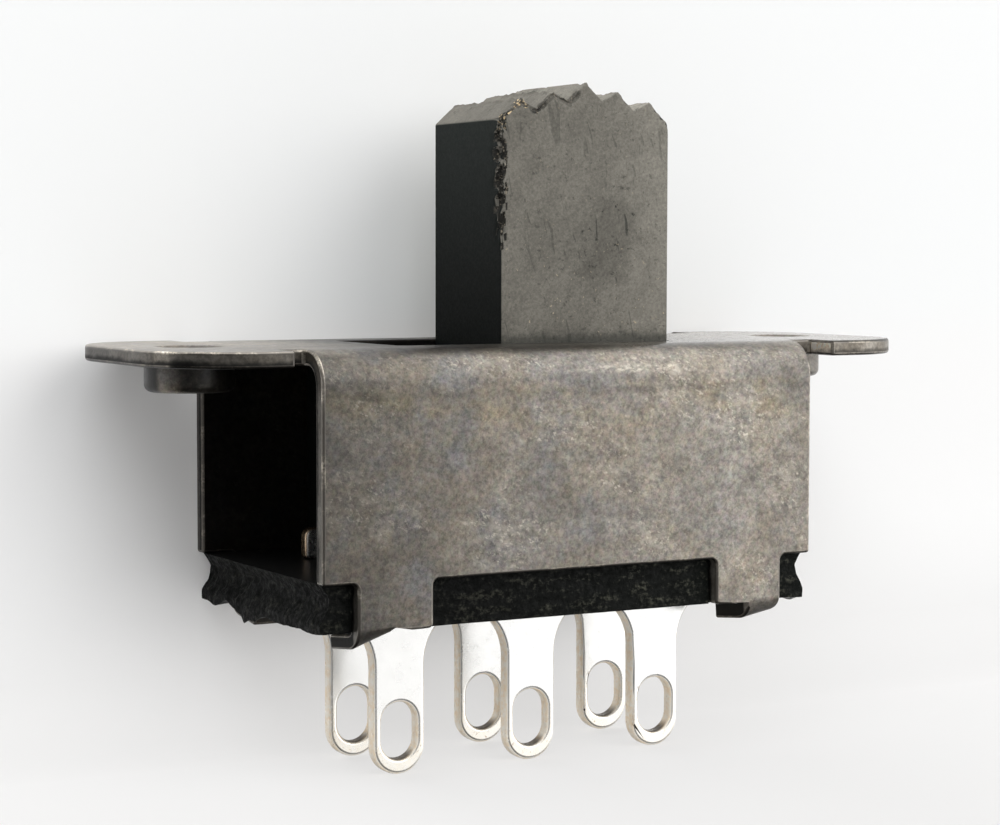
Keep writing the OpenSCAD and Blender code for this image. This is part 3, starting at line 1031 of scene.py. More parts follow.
@dataclass(frozen=True)
class ScuffedMoulding(Recipe):
    """Black moulding rubbed grey, with pits, short scratches and a smoother left side.

    The grey shows on every face but the two that point along the travel, and not on the carriage
    under the flange; it is rubbed wear and painted sheen together. A thumb has left a dull spot,
    and crumbs lie at the foot. Painted shade darkens the black towards the foot, and a wandering
    band where the knob meets the flange.
    """

    name: str = "scuffed_moulding"
    black: Colour = (0.015, 0.0185, 0.017)
    foot: Colour = (0.003, 0.004, 0.0035)
    rubbed: Colour = (0.186, 0.176, 0.152)
    dust: Colour = (0.5, 0.42, 0.3)
    # Faces that take the grey of rubbed wear and painted sheen.
    sides: Region = (Slope(Along.FLANK_X, 0.97, 0.8), Slope(Along.Z, -0.7, -0.2))
    # Painted shade: darker towards the foot.
    polish: Slope = Slope(Along.Z, 0.5, 10.5)
    thumb: Triple = (3.5, 0.0, 4.4)
    thumb_size: Span = (1.9, 3.0)
    thumb_turn: float = 25
    thumb_blur: float = 1.6
    thumb_rim: Mottle = Mottle(0.9, 4, 0.7)
    thumb_ramp: tuple[float, ...] = (0.3, 1.0, 0.68, 1.0)
    thumb_marks: tuple[float, ...] = (0.68, 1.0, 1.0, 0.5)
    # Painted light: the grey share grows towards the right.
    handled: Slope = Slope(Along.X, 1, 6.5, 0.9, 1.2)
    teeth: Region = (Slope(Along.FACING_Z, 0.4, 0.75), Slope(Along.X, -1, 2, 0, 0.3))
    clouds: Mottle = Mottle(1.5, 4, 0.65, (0.34, 0.66), (1.06, 0.88), (1, 1, 0.6), (0, 40, 0))
    grain: Mottle = Mottle(0.1, 4, 0.75)
    grain_factors: Span = (0.78, 1.2)
    scuffs: Mottle = Mottle(0.15, 3, 0.65, MOST, (0.93, 1.07), (1, 1, 0.4), (0, 60, 0))
    pits: Mottle = Mottle(0.22, 3, 0.65, (0.6, 0.7))
    scratches: Mottle = Mottle(
        0.4, 2, 0.4, (0.65, 0.7), scale=(1, 1, 0.2), turn=(0, -12, 0), distortion=1.0
    )
    scratch_share: float = 0.8
    mark_share: float = 0.72
    crumbs: Mottle = Mottle(0.16, 2, 0.5, (0.68, 0.75), scale=(1, 1, 1), turn=(60, 10, 30))
    crumb_height: Slope = Slope(Along.Z, 6, 0.5, 0.2, 0.7)
    # Painted contact shade: a wandering dark band at the foot.
    dirt: Mottle = Mottle(0.5, 3, 0.7)
    dirt_level: Triple = (0.6, 0.9, 0.4)
    dirt_share: float = 0.6
    roughness: Span = (0.57, 0.74)
    specular: float = 0.1
    grain_height: float = 0.35
    relief: Span = (0.03, 0.75)

    def off_centre(self, g: Finish) -> Socket:
        """Works out the distance from the dull spot that a thumb leaves.

        Args:
            g: the material's nodes.

        Returns:
            The distance, about 1 on the edge of the spot's slanting ellipse.
        """
        shifted = g.mapped(
            Location=tuple(place * MM for place in self.thumb),
            Rotation=(0, math.radians(self.thumb_turn), 0),
            Scale=(self.thumb_size[0] * MM, 1, self.thumb_size[1] * MM),
        )
        length = g.node("ShaderNodeVectorMath", "Value", {0: shifted}, operation="LENGTH")
        blur = g.times(g.math("SUBTRACT", g.noise(self.thumb_rim), 0.5), self.thumb_blur)
        return g.plus(length, blur)

    def paint(self, g: Finish) -> None:
        """Feeds the shader.

        Args:
            g: the new material's nodes.
        """
        sides, grain = g.within(*self.sides), g.noise(self.grain)
        thumb = g.ramp(self.off_centre(g), *self.thumb_ramp)
        wear = g.times(g.within(self.handled), g.mottled(self.clouds), thumb)
        wear = g.times(wear, g.ramp(grain, *MOST, *self.grain_factors), g.mottled(self.scuffs))
        wear = g.times(wear, g.plus(g.within(*self.teeth), 1.0))
        # Painted shade towards the foot on the faces that stay black.
        foot_shaded = g.blend(g.within(self.polish), self.foot, self.black)
        base = g.blend(sides, foot_shaded, g.shaded(self.rubbed, wear))
        scratches = g.times(g.mottled(self.scratches), self.scratch_share)
        marks = g.math("MAXIMUM", g.mottled(self.pits), scratches)
        marks = g.times(marks, g.ramp(thumb, *self.thumb_marks), sides)
        base = g.blend(g.times(marks, self.mark_share), base, self.black)
        crumbs = g.times(g.mottled(self.crumbs), sides, g.within(self.crumb_height))
        base = g.blend(crumbs, base, self.dust)
        # Painted contact shade where the knob meets the flange.
        dirt = g.times(g.wandering(self.dirt, *self.dirt_level), sides, self.dirt_share)
        base = g.blend(dirt, base, self.black)
        height = g.math("SUBTRACT", g.times(grain, self.grain_height), marks)
        rough, relief = g.ramp(grain, *MOST, *self.roughness), g.bump(height, *self.relief)
        g.set(Base_Color=base, Roughness=rough, Normal=relief, Specular_IOR_Level=self.specular)


@dataclass(frozen=True)
class BrokenMoulding(Recipe):
    """Where the moulding's edge has crumbled: near black, with beige crumbs.

    The chip in the top's teeth has worn back to grey, and paler crumbs cling to the edge
    just below it, on the left.
    """

    name: str = "broken_moulding"
    dark: Colour = (0.014, 0.013, 0.01)
    grey: Colour = (0.1, 0.094, 0.08)
    crumb: Colour = (0.26, 0.225, 0.17)
    pale: Colour = (0.72, 0.56, 0.34)
    crumbs: Mottle = Mottle(0.13, 3, 0.7, (0.54, 0.72))
    chip_edge: Mottle = Mottle(0.5, 3, 0.7)
    chip_level: Triple = (1, 10, 10.4)
    pale_crumbs: Mottle = Mottle(0.17, 2, 0.5, (0.54, 0.62))
    pale_region: Region = (Slope(Along.Z, 8.6, 9.2), Slope(Along.X, -0.4, -0.7))
    roughness: float = 0.8
    grain: Mottle = Mottle(0.12, 3, 0.7)
    relief: float = 0.06

    def paint(self, g: Finish) -> None:
        """Feeds the shader.

        Args:
            g: the new material's nodes.
        """
        ground = g.blend(g.wandering(self.chip_edge, *self.chip_level), self.dark, self.grey)
        base = g.blend(g.mottled(self.crumbs), ground, self.crumb)
        pale = g.times(g.mottled(self.pale_crumbs), g.within(*self.pale_region))
        base = g.blend(pale, base, self.pale)
        relief = g.bump(g.noise(self.grain), self.relief)
        g.set(Base_Color=base, Roughness=self.roughness, Normal=relief)


@dataclass(frozen=True)
class SawnLaminate(Recipe):
    """Black paper laminate: glossy on its two faces, torn and streaky on its cut sides."""

    name: str = "sawn_laminate"
    face: Colour = (0.008, 0.008, 0.008)
    torn: Colour = (0.0022, 0.0027, 0.0022)
    fibre: Colour = (0.045, 0.045, 0.034)
    faces: Slope = Slope(Along.FLANK_Z, 0.85, 0.97)
    streaks: Mottle = Mottle(0.4, 4, 0.7, scale=(0.3, 1, 1))
    lumps: Mottle = Mottle(0.22, 4, 0.75)
    frayed: Span = (0.26, 0.44)
    # Painted light: the cut sides grow paler towards the right.
    pale_right: Slope = Slope(Along.X, -9, 8, 0.6, 1.5)
    side_roughness: tuple[float, ...] = (0.35, 0.65, 0.8, 0.4)
    face_roughness: Colour = (0.34, 0.34, 0.34)
    torn_relief: Span = (0.05, 0.8)
    waves: Mottle = Mottle(1.2, 2, 0.5)
    wave_relief: Span = (0.01, 0.4)
    specular: float = 0.1

    def paint(self, g: Finish) -> None:
        """Feeds the shader.

        Args:
            g: the new material's nodes.
        """
        flat = g.within(self.faces)
        streaks, lumps = g.noise(self.streaks), g.noise(self.lumps)
        side = g.blend(g.ramp(g.times(streaks, lumps), *self.frayed), self.torn, self.fibre)
        # Painted light on the cut sides, paler towards the right.
        base = g.blend(flat, g.shaded(side, g.within(self.pale_right)), self.face)
        rough = g.blend(flat, g.ramp(lumps, *self.side_roughness), self.face_roughness)
        torn = g.bump(g.plus(streaks, lumps), *self.torn_relief)
        inputs = {0: flat, 4: torn, 5: g.bump(g.noise(self.waves), *self.wave_relief)}
        relief = g.node("ShaderNodeMix", 1, inputs, data_type="VECTOR")
        g.set(Base_Color=base, Roughness=rough, Normal=relief, Specular_IOR_Level=self.specular)


@dataclass(frozen=True)
class BrightPlating(Recipe):
    """Milky plating on brass: near white on the faces, cream and mottled on the cut edges.

    The eye's ring and the neck by the board carry brown specks of old solder flux, and painted
    shade lies on the floor of the eye.
    """

    name: str = "bright_plating"
    silver: Colour = (0.97, 0.965, 0.945)
    cream: Colour = (1.0, 0.945, 0.84)
    warm: Colour = (0.97, 0.78, 0.55)
    tan: Colour = (0.42, 0.26, 0.13)
    shadow: Colour = (0.07, 0.06, 0.055)
    cut: Slope = Slope(Along.FLANK_Y, 0.97, 0.6)
    ring: Mottle = Mottle(0.9, 3, 0.6)
    ring_level: Triple = (2, -13.2, -15.8)
    neck: Slope = Slope(Along.Z, -11.9, -11.3, 0, 0.75)
    mottle: Mottle = Mottle(0.4, 4, 0.7, (0.36, 0.6))
    fine: Mottle = Mottle(0.14, 3, 0.7, (0.35, 0.7), (0.4, 1))
    specks: Mottle = Mottle(0.17, 3, 0.7, (0.6, 0.74), scale=(1, 1, 0.8), turn=(0, 40, 20))
    speck_shares: Span = (0.6, 0.12)
    # Painted shade on the eye's floor.
    eye_floor: Region = (Slope(Along.FACING_Z, 0.45, 0.9, 0, 0.9), Slope(Along.Z, -12.5, -13.5))
    cut_metallic: tuple[float, ...] = (0, 0.4, 0.86, 0.0)
    neck_metallic: Slope = Slope(Along.Z, -10.5, -9.5, 0, 0.95)
    dullness: Mottle = Mottle(0.5, 3, 0.6, MOST, (0.22, 0.28))
    waves: Mottle = Mottle(0.7, 2, 0.5)
    relief: Span = (0.008, 0.4)

    def paint(self, g: Finish) -> None:
        """Feeds the shader.

        Args:
            g: the new material's nodes.
        """
        cut, mottle = g.within(self.cut), g.mottled(self.mottle)
        ring = g.wandering(self.ring, *self.ring_level)
        edge = g.blend(g.times(mottle, g.mottled(self.fine)), self.cream, self.warm)
        edge = g.blend(g.within(self.neck), edge, self.tan)
        creamy = g.times(g.plus(g.times(mottle, 0.5), 0.5), ring)
        base = g.blend(cut, g.blend(creamy, self.silver, self.cream), edge)
        flux = (g.times(*pair) for pair in zip((ring, cut), self.speck_shares))
        specks = g.times(g.mottled(self.specks), g.math("MAXIMUM", *flux))
        base = g.blend(specks, base, self.tan)
        # Painted shade on the eye's floor.
        base = g.blend(g.within(*self.eye_floor), base, self.shadow)
        metal = g.math("MAXIMUM", g.ramp(cut, *self.cut_metallic), g.within(self.neck_metallic))
        relief = g.bump(g.noise(self.waves), *self.relief)
        g.set(Base_Color=base, Metallic=metal, Roughness=g.mottled(self.dullness), Normal=relief)


@dataclass(frozen=True)
class SpringMetal(Recipe):
    """Bare spring metal with fine lines from its rolling or drawing."""

    name: str
    colour: Colour
    darker: Colour
    roughness: float
    stretch: Triple
    lines: Mottle = Mottle(0.25, 3, 0.6, (0.3, 0.72))
    relief: Span = (0.006, 0.6)

    def paint(self, g: Finish) -> None:
        """Feeds the shader.

        Args:
            g: the new material's nodes.
        """
        lines = g.noise(replace(self.lines, scale=self.stretch))
        base = g.blend(g.ramp(lines, *self.lines.values), self.darker, self.colour)
        relief = g.bump(lines, *self.relief)
        g.set(Base_Color=base, Metallic=1.0, Roughness=self.roughness, Normal=relief)


CLIP_METAL = SpringMetal("clip_metal", (0.78, 0.56, 0.32), (0.52, 0.35, 0.18), 0.3, (0.2, 1, 1))
DRAWN_WIRE = SpringMetal("drawn_wire", (0.66, 0.66, 0.68), (0.4, 0.4, 0.42), 0.28, (1, 0.4, 1))
GROUND_BALL = SpringMetal("ground_ball", (0.78, 0.78, 0.8), (0.62, 0.62, 0.64), 0.12, (1, 1, 1))


class Finishes:
    """The switch's materials, each built once."""

    def __init__(self) -> None:
        """Builds them all."""
        self.plate = TarnishedPlate().material()
        self.worn = WornEdge().material()
        self.sheared = ShearedEdge().material()
        self.moulding = ScuffedMoulding().material()
        self.broken = BrokenMoulding().material()
        self.laminate = SawnLaminate().material()
        self.plating = BrightPlating().material()
        self.clip = CLIP_METAL.material()
        self.wire = DRAWN_WIRE.material()
        self.ball = GROUND_BALL.material()


# ---- Sub-assemblies --------------------------------------------------------------------


def placed(piece: bpy.types.Object, body: str, slot: str, *nodes: str) -> bpy.types.Object:
    """Lets a piece ride on a body and stand for solids, and reports it.

    Args:
        piece: the finished piece.
        body: the body it moves with.
        slot: not used.
        nodes: the solids it stands for.

    Returns:
        The piece.
    """
    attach(piece, body)
    if nodes:
        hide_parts(*nodes)
    log.info("%s: %d faces, rides on %s", piece.name, len(piece.data.polygons), body)
    return piece


def dress(piece: bpy.types.Object, *materials: bpy.types.Material) -> None:
    """Puts materials into a piece's slots, in order.

    Args:
        piece: the piece.
        materials: one for each slot.
    """
    slots = piece.data.materials
    for index, material in enumerate(materials):
        if index < len(slots):
            slots[index] = material
        else:
            slots.append(material)


def dress_solid(node: str, material: bpy.types.Material) -> None:
    """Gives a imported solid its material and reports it.

    Args:
        node: the solid's name.
        material: its material.
    """
    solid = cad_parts[node]
    solid.material_slots[0].material = material
    log.info("%s: solid kept, dressed with %s", node, material.name)


@dataclass
class SheetFrame:
    """The folded frame: the solid's own shape with its sheared edges rolled over.

    The press left each folded tab end at its own slant, so the height of a fold below its
    start is scaled by a share that follows X.
    """

    edge_roll: float = 0.12
    slot: Span = (7.0, 3.3)
    ear_start: float = 11.75
    ear_rim: Span = (16.3, 4.4)
    skin_z: float = 0.7
    plate_y: float = 5.0
    tab_end: float = 11.1
    fold_x: float = 8.35
    fold_z: float = -10.8
    corner_reach: Span = (0.15, 0.35)
    slack: float = 0.1
    slants: tuple[tuple[Span, ...], ...] = (
        ((-9.95, 0.95), (-9.5, 0.77), (-9.0, 0.64), (-8.6, 0.47), (-8.35, 0.22)),
        ((8.35, 1.0), (9.15, 0.86), (9.95, 0.68)),
    )

    def fold_corner(self, p: np.ndarray) -> np.ndarray:
        """Tells which places lie at the corners where the folds part from the straight tabs.

        Args:
            p: array of (n, 3) places.

        Returns:
            One truth value per place.
        """
        x, _, z = p.T
        near_x = np.abs(np.abs(x) - self.fold_x) < self.corner_reach[0]
        return near_x & (np.abs(z - self.fold_z) < self.corner_reach[1])

    def crimp(self, mesh: bpy.types.Mesh) -> None:
        """Slants the two folds of the front side plate, and keeps the points in the solid's box.

        Args:
            mesh: the frame's mesh.
        """
        points = read(mesh.vertices, "co")
        x, y, z = (points / MM).T
        for slant in self.slants:
            places, shares = np.array(slant).T
            near = (y < 0) & (z < self.fold_z)
            near = near & (x > places.min() - self.slack) & (x < places.max() + self.slack)
            lower = (self.fold_z + (z - self.fold_z) * np.interp(x, places, shares)) * MM
            points[:, 2] = np.where(near, lower, points[:, 2])
        low, high = (np.array(corner, np.float32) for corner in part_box("frame"))
        mesh.vertices.foreach_set("co", np.clip(points, low + 1e-8, high - 1e-8).reshape(-1))
        mesh.update()

    def mark_sheared(self, mesh: bpy.types.Mesh) -> None:
        """Gives the blank's cut edges the third material slot.

        They face along X, or down at the side plates' lower edges, or sideways around the
        ears and the slot. The drawn collars lie in from the ears' outline and stay plated.

        Args:
            mesh: the frame's mesh.
        """
        x, y, z = np.abs(read(mesh.polygons, "center") / MM).T
        nx, _, nz = np.abs(read(mesh.polygons, "normal")).T
        slots = read(mesh.polygons, "material_index", 1, np.int32).reshape(-1)
        slot_wall = (x < self.slot[0]) & (y < self.slot[1])
        ear_rim = (x > self.ear_start) & ((x > self.ear_rim[0]) | (y > self.ear_rim[1]))
        sideways = (nz < 0.3) & (z < self.skin_z) & (slot_wall | ear_rim)
        ends = (nx > 0.8) | (nz > 0.8) & (z < self.tab_end)
        plates = (y > self.plate_y) & (z > self.skin_z) & ends
        slots[(slots == 0) & (sideways | plates)] = 2
        mesh.polygons.foreach_set("material_index", slots)

    def build(self, finishes: Finishes) -> bpy.types.Object:
        """Makes the frame.

        Args:
            finishes: the materials.

        Returns:
            The piece.
        """
        piece = rounded_copy("frame", "folded_frame", self.edge_roll, spared=self.fold_corner)
        self.mark_sheared(piece.data)
        self.crimp(piece.data)
        dress(piece, finishes.plate, finishes.worn, finishes.sheared)
        return placed(piece, HOUSING, "plated_steel", "frame")


@dataclass
class SlidingKnob:
    """The knob with its worn teeth, and the carriage that it is moulded on."""

    length: float = 8.1
    width: float = 5.88
    foot_z: float = -1.0
    shoulder_z: float = 9.2
    tooth_pitch: float = 1.55
    tip_z: Triple = (10.8, 10.43, 10.06)
    valley_z: Span = (10.07, 9.7)
    soft: float = 0.05
    chip: float = 0.34
    upright_reach: Span = (0.17, 0.46)
    upright_z: float = 3.7
    upright_rise: float = 2.2
    teeth_reach: Span = (0.24, 0.2)
    flake: float = 0.22
    nick: float = 0.17
    ragged: float = 0.24
    cut_z: float = -0.75
    seed: int = 5
    noise: LatticeNoise = field(init=False)
    centre_x: float = field(init=False)

    def __post_init__(self) -> None:
        """Finds the knob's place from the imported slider, whose carriage shares its middle."""
        low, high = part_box("slider")
        self.centre_x = (low.x + high.x) / 2 / MM
        self.noise = LatticeNoise(self.seed)

    def knots(self) -> tuple[np.ndarray, np.ndarray]:
        """Lists the corners of the toothed top, mirrored about the middle tooth.

        Returns:
            Their X from the middle, and their Z.
        """
        x = np.arange(0, 2.5, 0.5) * self.tooth_pitch
        tips, valleys = self.tip_z, self.valley_z
        z = np.array([tips[0], valleys[0], tips[1], valleys[1], tips[2]])
        x, z = np.append(x, self.length / 2), np.append(z, self.shoulder_z)
        return np.concatenate([-x[:0:-1], x]), np.concatenate([z[:0:-1], z])

    def top(self, x: np.ndarray) -> np.ndarray:
        """Height of the toothed top over X from the middle: straight lines between its corners."""
        return np.interp(x, *self.knots())

    def near_edges(self, p: np.ndarray) -> tuple[np.ndarray, np.ndarray]:
        """How near each point is to the broken upright edge and to the teeth's front edge.

        Args:
            p: array of (n, 3) places, with X from the knob's middle.

        Returns:
            Two arrays from 0 to 1, which fall off as a bell curve with distance.
        """
        x, y, z = p.T
        half, side = self.length / 2, self.width / 2
        (across, along), (inward, down) = self.upright_reach, self.teeth_reach
        upright = np.exp(-(((x + half) / across) ** 2) - ((y + side) / along) ** 2)
        upright = upright * np.clip((z - self.upright_z) / self.upright_rise, 0, 1)
        teeth = np.exp(-(((y + side) / inward) ** 2) - ((self.top(x) - z) / down) ** 2)
        teeth = teeth * np.clip((1.2 - x) / 1.8, 0.12, 1)
        return upright, teeth

    def wear(self, p: np.ndarray) -> np.ndarray:
        """Works out how far the edges are rounded off: a soft radius, and noise near the worn ones.

        Args:
            p: array of (n, 3) places, with X from the knob's middle.

        Returns:
            One radius per place, in millimetres.
        """
        upright, teeth = self.near_edges(p)
        rough = self.noise.layered(p, 0.4, 4)
        near = 0.5 * upright + 0.5 * teeth
        return self.soft + self.chip * np.clip((rough - 0.3) * 3, 0, 1) * near

    def bite(self, p: np.ndarray) -> np.ndarray:
        """Works out the depth of the flakes broken out of the worn edges.

        It is layered noise above a threshold, which is lower near the upright edge.

        Args:
            p: array of (n, 3) places, with X from the knob's middle.

        Returns:
            One depth per place, in millimetres.
        """
        upright, teeth = self.near_edges(p)
        flakes = self.noise.layered(p * (1, 1, 0.8) + 3.1, 0.3, 4) - 0.52 + 0.3 * upright
        nicks = self.noise.layered(p * (0.7, 1, 1) + 17.0, 0.4, 3) - 0.46
        flaked = self.flake * np.clip(flakes * 5, 0, 1) * np.clip(upright * 2.6, 0, 1)
        return flaked + self.nick * np.clip(nicks * 5, 0, 1) * np.clip(teeth * 2, 0, 1)

    def shape(self, p: np.ndarray) -> np.ndarray:
        """Rounds the block's edges and breaks flakes out of them.

        Each point is pulled back to the nearest point of the block shrunk by the radius, and
        pushed out again by the radius along the line between them, less the flake's depth.
        The teeth's ridges are then raised and lowered by noise.

        Args:
            p: array of (n, 3) places, with X from the knob's middle.

        Returns:
            The places they move to, with the object's own X.
        """
        r = self.wear(p)
        x, y, z = p.T
        half, side = self.length / 2, self.width / 2
        core = [np.clip(x, r - half, half - r), np.clip(y, r - side, side - r), self.top(x) - r]
        core[2] = np.minimum(z, core[2])
        core = np.stack(core, axis=-1)
        out = p - core
        length = np.linalg.norm(out, axis=-1)
        away = out / np.maximum(length, 1e-9)[:, None]
        depth = r - self.bite(p) * (0.7 + 0.6 * self.noise(p + 11.7, 0.1))
        q = np.where(length[:, None] > 1e-6, core + away * depth[:, None], p)
        ridge = np.min(np.abs(x[:, None] - self.knots()[0][None, 1:-1:2]), axis=1)
        ragged = self.noise.layered(p * (1, 0.6, 1) + 23.0, 0.25, 3) - 0.5
        ragged = ragged * np.exp(-((ridge / 0.18) ** 2))
        q[:, 2] += np.where(self.top(x) - z < 0.02, ragged * self.ragged, 0)
        q[:, 2] = np.minimum(q[:, 2], self.knots()[1].max())
        q[:, 0] += self.centre_x
        return q

    def knob(self) -> bpy.types.Object:
        """Makes the knob.

        The block is a grid over X, Y and a height share: Z is the foot plus the share times
        the rise to the toothed top over that X.

        Returns:
            The knob.
        """
        corners = self.knots()[0]
        spans = [np.linspace(a, b, 12)[:-1] for a, b in zip(corners[1:-2], corners[2:-1])]
        outer = corners[-1] - corners[-2]
        ends = graded(0, outer, 0.035, 0.1, 0.35)
        xs = np.concatenate([corners[0] + ends[:-1], *spans, corners[-1] - ends[::-1]])
        ys = graded(-self.width / 2, self.width / 2, 0.04, 0.14, 0.4)
        shares = np.linspace(0, 0.68, 24)[:-1], np.linspace(0.68, 0.965, 72)[:-1]
        shares = np.concatenate([*shares, graded(0.965, 1, 0.0032, 0.0032, 0)])
        skin = box_skin("toothed_knob", xs, ys, shares)
        for points in skin.points:
            rise = self.top(points[:, 0]) - self.foot_z
            points[:, 2] = self.foot_z + points[:, 2] * rise
        return skin.finish(self.shape)

    def carriage(self) -> bpy.types.Object:
        """Makes the carriage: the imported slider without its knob, edges softened.

        Returns:
            The carriage.
        """
        piece = rounded_copy("slider", "carriage", 0.06, 2)
        cut = bmesh.new()
        cut.from_mesh(piece.data)
        level = Vector((0, 0, self.cut_z * MM))
        whole = cut.verts[:] + cut.edges[:] + cut.faces[:]
        upward = (0, 0, 1)
        bmesh.ops.bisect_plane(cut, geom=whole, plane_co=level, plane_no=upward, clear_outer=True)
        bmesh.ops.holes_fill(cut, edges=[e for e in cut.edges if e.is_boundary])
        cut.to_mesh(piece.data)
        cut.free()
        return piece

    def build(self, finishes: Finishes) -> list[bpy.types.Object]:
        """Makes the knob and the carriage.

        Args:
            finishes: the materials.

        Returns:
            Both pieces.
        """
        knob, carriage = self.knob(), self.carriage()
        dress(knob, finishes.moulding, finishes.broken)
        centres = read(knob.data.polygons, "center").astype(float) / MM - (self.centre_x, 0, 0)
        rim = (self.near_edges(centres)[1] > 0.7) & (centres[:, 0] < -2.9)
        broken = (self.bite(centres) > 0.022) | rim & (self.noise(centres, 0.3) > 0.42)
        knob.data.polygons.foreach_set("material_index", broken.astype(np.int32))
        dress(carriage, finishes.moulding, finishes.moulding)
        return [placed(piece, CARRIAGE, "black_knob", "slider") for piece in (knob, carriage)]


def bells(y: np.ndarray, chips: tuple[Triple, ...]) -> np.ndarray:
    """Adds up bell curves, each with its height, its middle and its width."""
    return sum(height * np.exp(-(((y - middle) / width) ** 2)) for height, middle, width in chips)


@dataclass
class LaminateBoard:
    """The board under the frame: flat faces, hollowed and torn ends, notches for the tabs."""

    hollow: float = 0.38
    notch: Span = (6.6, 10.01)
    notch_y: float = 5.64
    notch_wall: float = 0.006
    end_reach: float = 0.9
    side_reach: float = 0.25
    left_chips: tuple[Triple, ...] = (
        (0.5, 1.4, 0.55), (0.3, 0.4, 0.5), (0.16, 4.6, 0.5), (-0.2, 3.3, 0.4)
    )
    right_chips: tuple[Triple, ...] = ((0.3, -4.8, 0.6),)
    seed: int = 11

    def build(self, finishes: Finishes) -> bpy.types.Object:
        """Makes the board.

        Args:
            finishes: the materials.

        Returns:
            The piece.
        """
        low, high = (np.array(corner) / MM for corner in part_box("terminal_board"))
        noise = LatticeNoise(self.seed)
        fine = graded(low[0], high[0], 0.06, 0.22, 0.7)
        sides = [edge + wall for edge in self.notch for wall in (-self.notch_wall, self.notch_wall)]
        walls = np.array([sign * side for sign in (-1, 1) for side in sides])
        xs = np.unique(np.round(np.concatenate([fine, walls]), 4))
        ys = graded(low[1], high[1], 0.06, 0.09, 0.3)
        zs = graded(low[2], high[2], 0.05, 0.08, 0.25)
        thick = high[2] - low[2]

        def shape(p: np.ndarray) -> np.ndarray:
            """Rounds and tears the block.

            The ends go in by a hollow that follows height, plus noise; the lower rim hangs
            down in torn chips near the ends; the sides wave slightly; the notches step in.

            Args:
                p: array of (n, 3) places.

            Returns:
                The places they move to.
            """
            x, y, z = p.T
            share = (z - low[2]) / thick
            end = np.clip(1 - (high[0] - np.abs(x)) / self.end_reach, 0, 1)
            rough = noise.layered(p, 0.8, 4) - 0.5
            depths = [0.02, 0, self.hollow, self.hollow + 0.05, 0.2, 0.1]
            hollow = np.interp(share, [0, 0.2, 0.52, 0.72, 0.92, 1], depths)
            pits = np.clip(noise.layered(p * (0.2, 1, 1) + 31.0, 0.55, 2) - 0.5, 0, 1)
            pits = pits * np.clip(1.6 - 3 * np.abs(share - 0.5), 0, 1)
            flat = noise.layered(p * (0.2, 1, 1) + 9.0, 1.0, 2) - 0.5
            pull = end * (hollow + 0.14 * flat + 0.3 * pits) + 0.02
            side = np.clip(1 - (high[1] - np.abs(y)) / self.side_reach, 0, 1)
            wave = side * (0.03 + 0.1 * (noise.layered(p * (0.6, 1, 1.6) + 5, 0.5, 3) - 0.5))
            below = np.clip(1 - share / 0.45, 0, 1) * end
            left, right = (bells(y, chips) for chips in (self.left_chips, self.right_chips))
            chips = np.where(x < 0, left, right)
            q = p.copy()
            q[:, 0] -= np.sign(x) * pull
            q[:, 1] -= np.sign(y) * wave
            q[:, 2] -= below * (chips + 0.22 * np.clip(rough, -0.2, 0.5))
            inside = (np.abs(x) > self.notch[0]) & (np.abs(x) < self.notch[1])
            q[:, 1] = np.where(inside, np.clip(q[:, 1], -self.notch_y, self.notch_y), q[:, 1])
            return q

        piece = box_skin("laminate_board", xs, ys, zs).finish(shape)
        dress(piece, finishes.laminate)
        return placed(piece, HOUSING, "black_board", "terminal_board")


@dataclass
class SolderTerminal:
    """One terminal: the solid's own outline with its sheared edges rolled."""

    row: Row
    place: Place
    edge_roll: float = 0.16

    @property
    def node(self) -> str:
        """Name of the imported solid."""
        return f"terminal_{self.row.name.lower()}_{self.place.name.lower()}"

    def build(self, finishes: Finishes) -> bpy.types.Object:
        """Makes the terminal.

        Args:
            finishes: the materials.

        Returns:
            The piece.
        """
        piece = rounded_copy(self.node, self.node.replace("terminal", "lug"), self.edge_roll, 4)
        dress(piece, finishes.plating, finishes.plating)
        return placed(piece, HOUSING, "plated_brass", self.node)


@dataclass
class InnerWorks:
    """The clips, the ball and its spring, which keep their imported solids."""

    def build(self, finishes: Finishes) -> None:
        """Dresses the solids.

        Args:
            finishes: the materials.
        """
        for row in Row:
            dress_solid(f"contact_clip_{row.name.lower()}", finishes.clip)
        dress_solid("detent_ball", finishes.ball)
        dress_solid("detent_spring", finishes.wire)


# ---- Studio ----------------------------------------------------------------------------


@dataclass(frozen=True)
class Lamp:
    """A square lamp that faces the switch: its place and side in metres, its power in watts."""

    name: str
    place: Triple
    side: float
    power: float
    colour: Colour

    def build(self) -> None:
        """Adds the lamp, which gloss doesn't see."""
        data = bpy.data.lights.new(self.name, "AREA")
        data.shape = "RECTANGLE"
        data.size = data.size_y = self.side
        data.energy = self.power
        data.color = self.colour
        lamp = linked(self.name, data)
        lamp.location = self.place
        lamp.rotation_euler = (-Vector(self.place)).to_track_quat("-Z", "Y").to_euler()
        lamp.visible_glossy = False


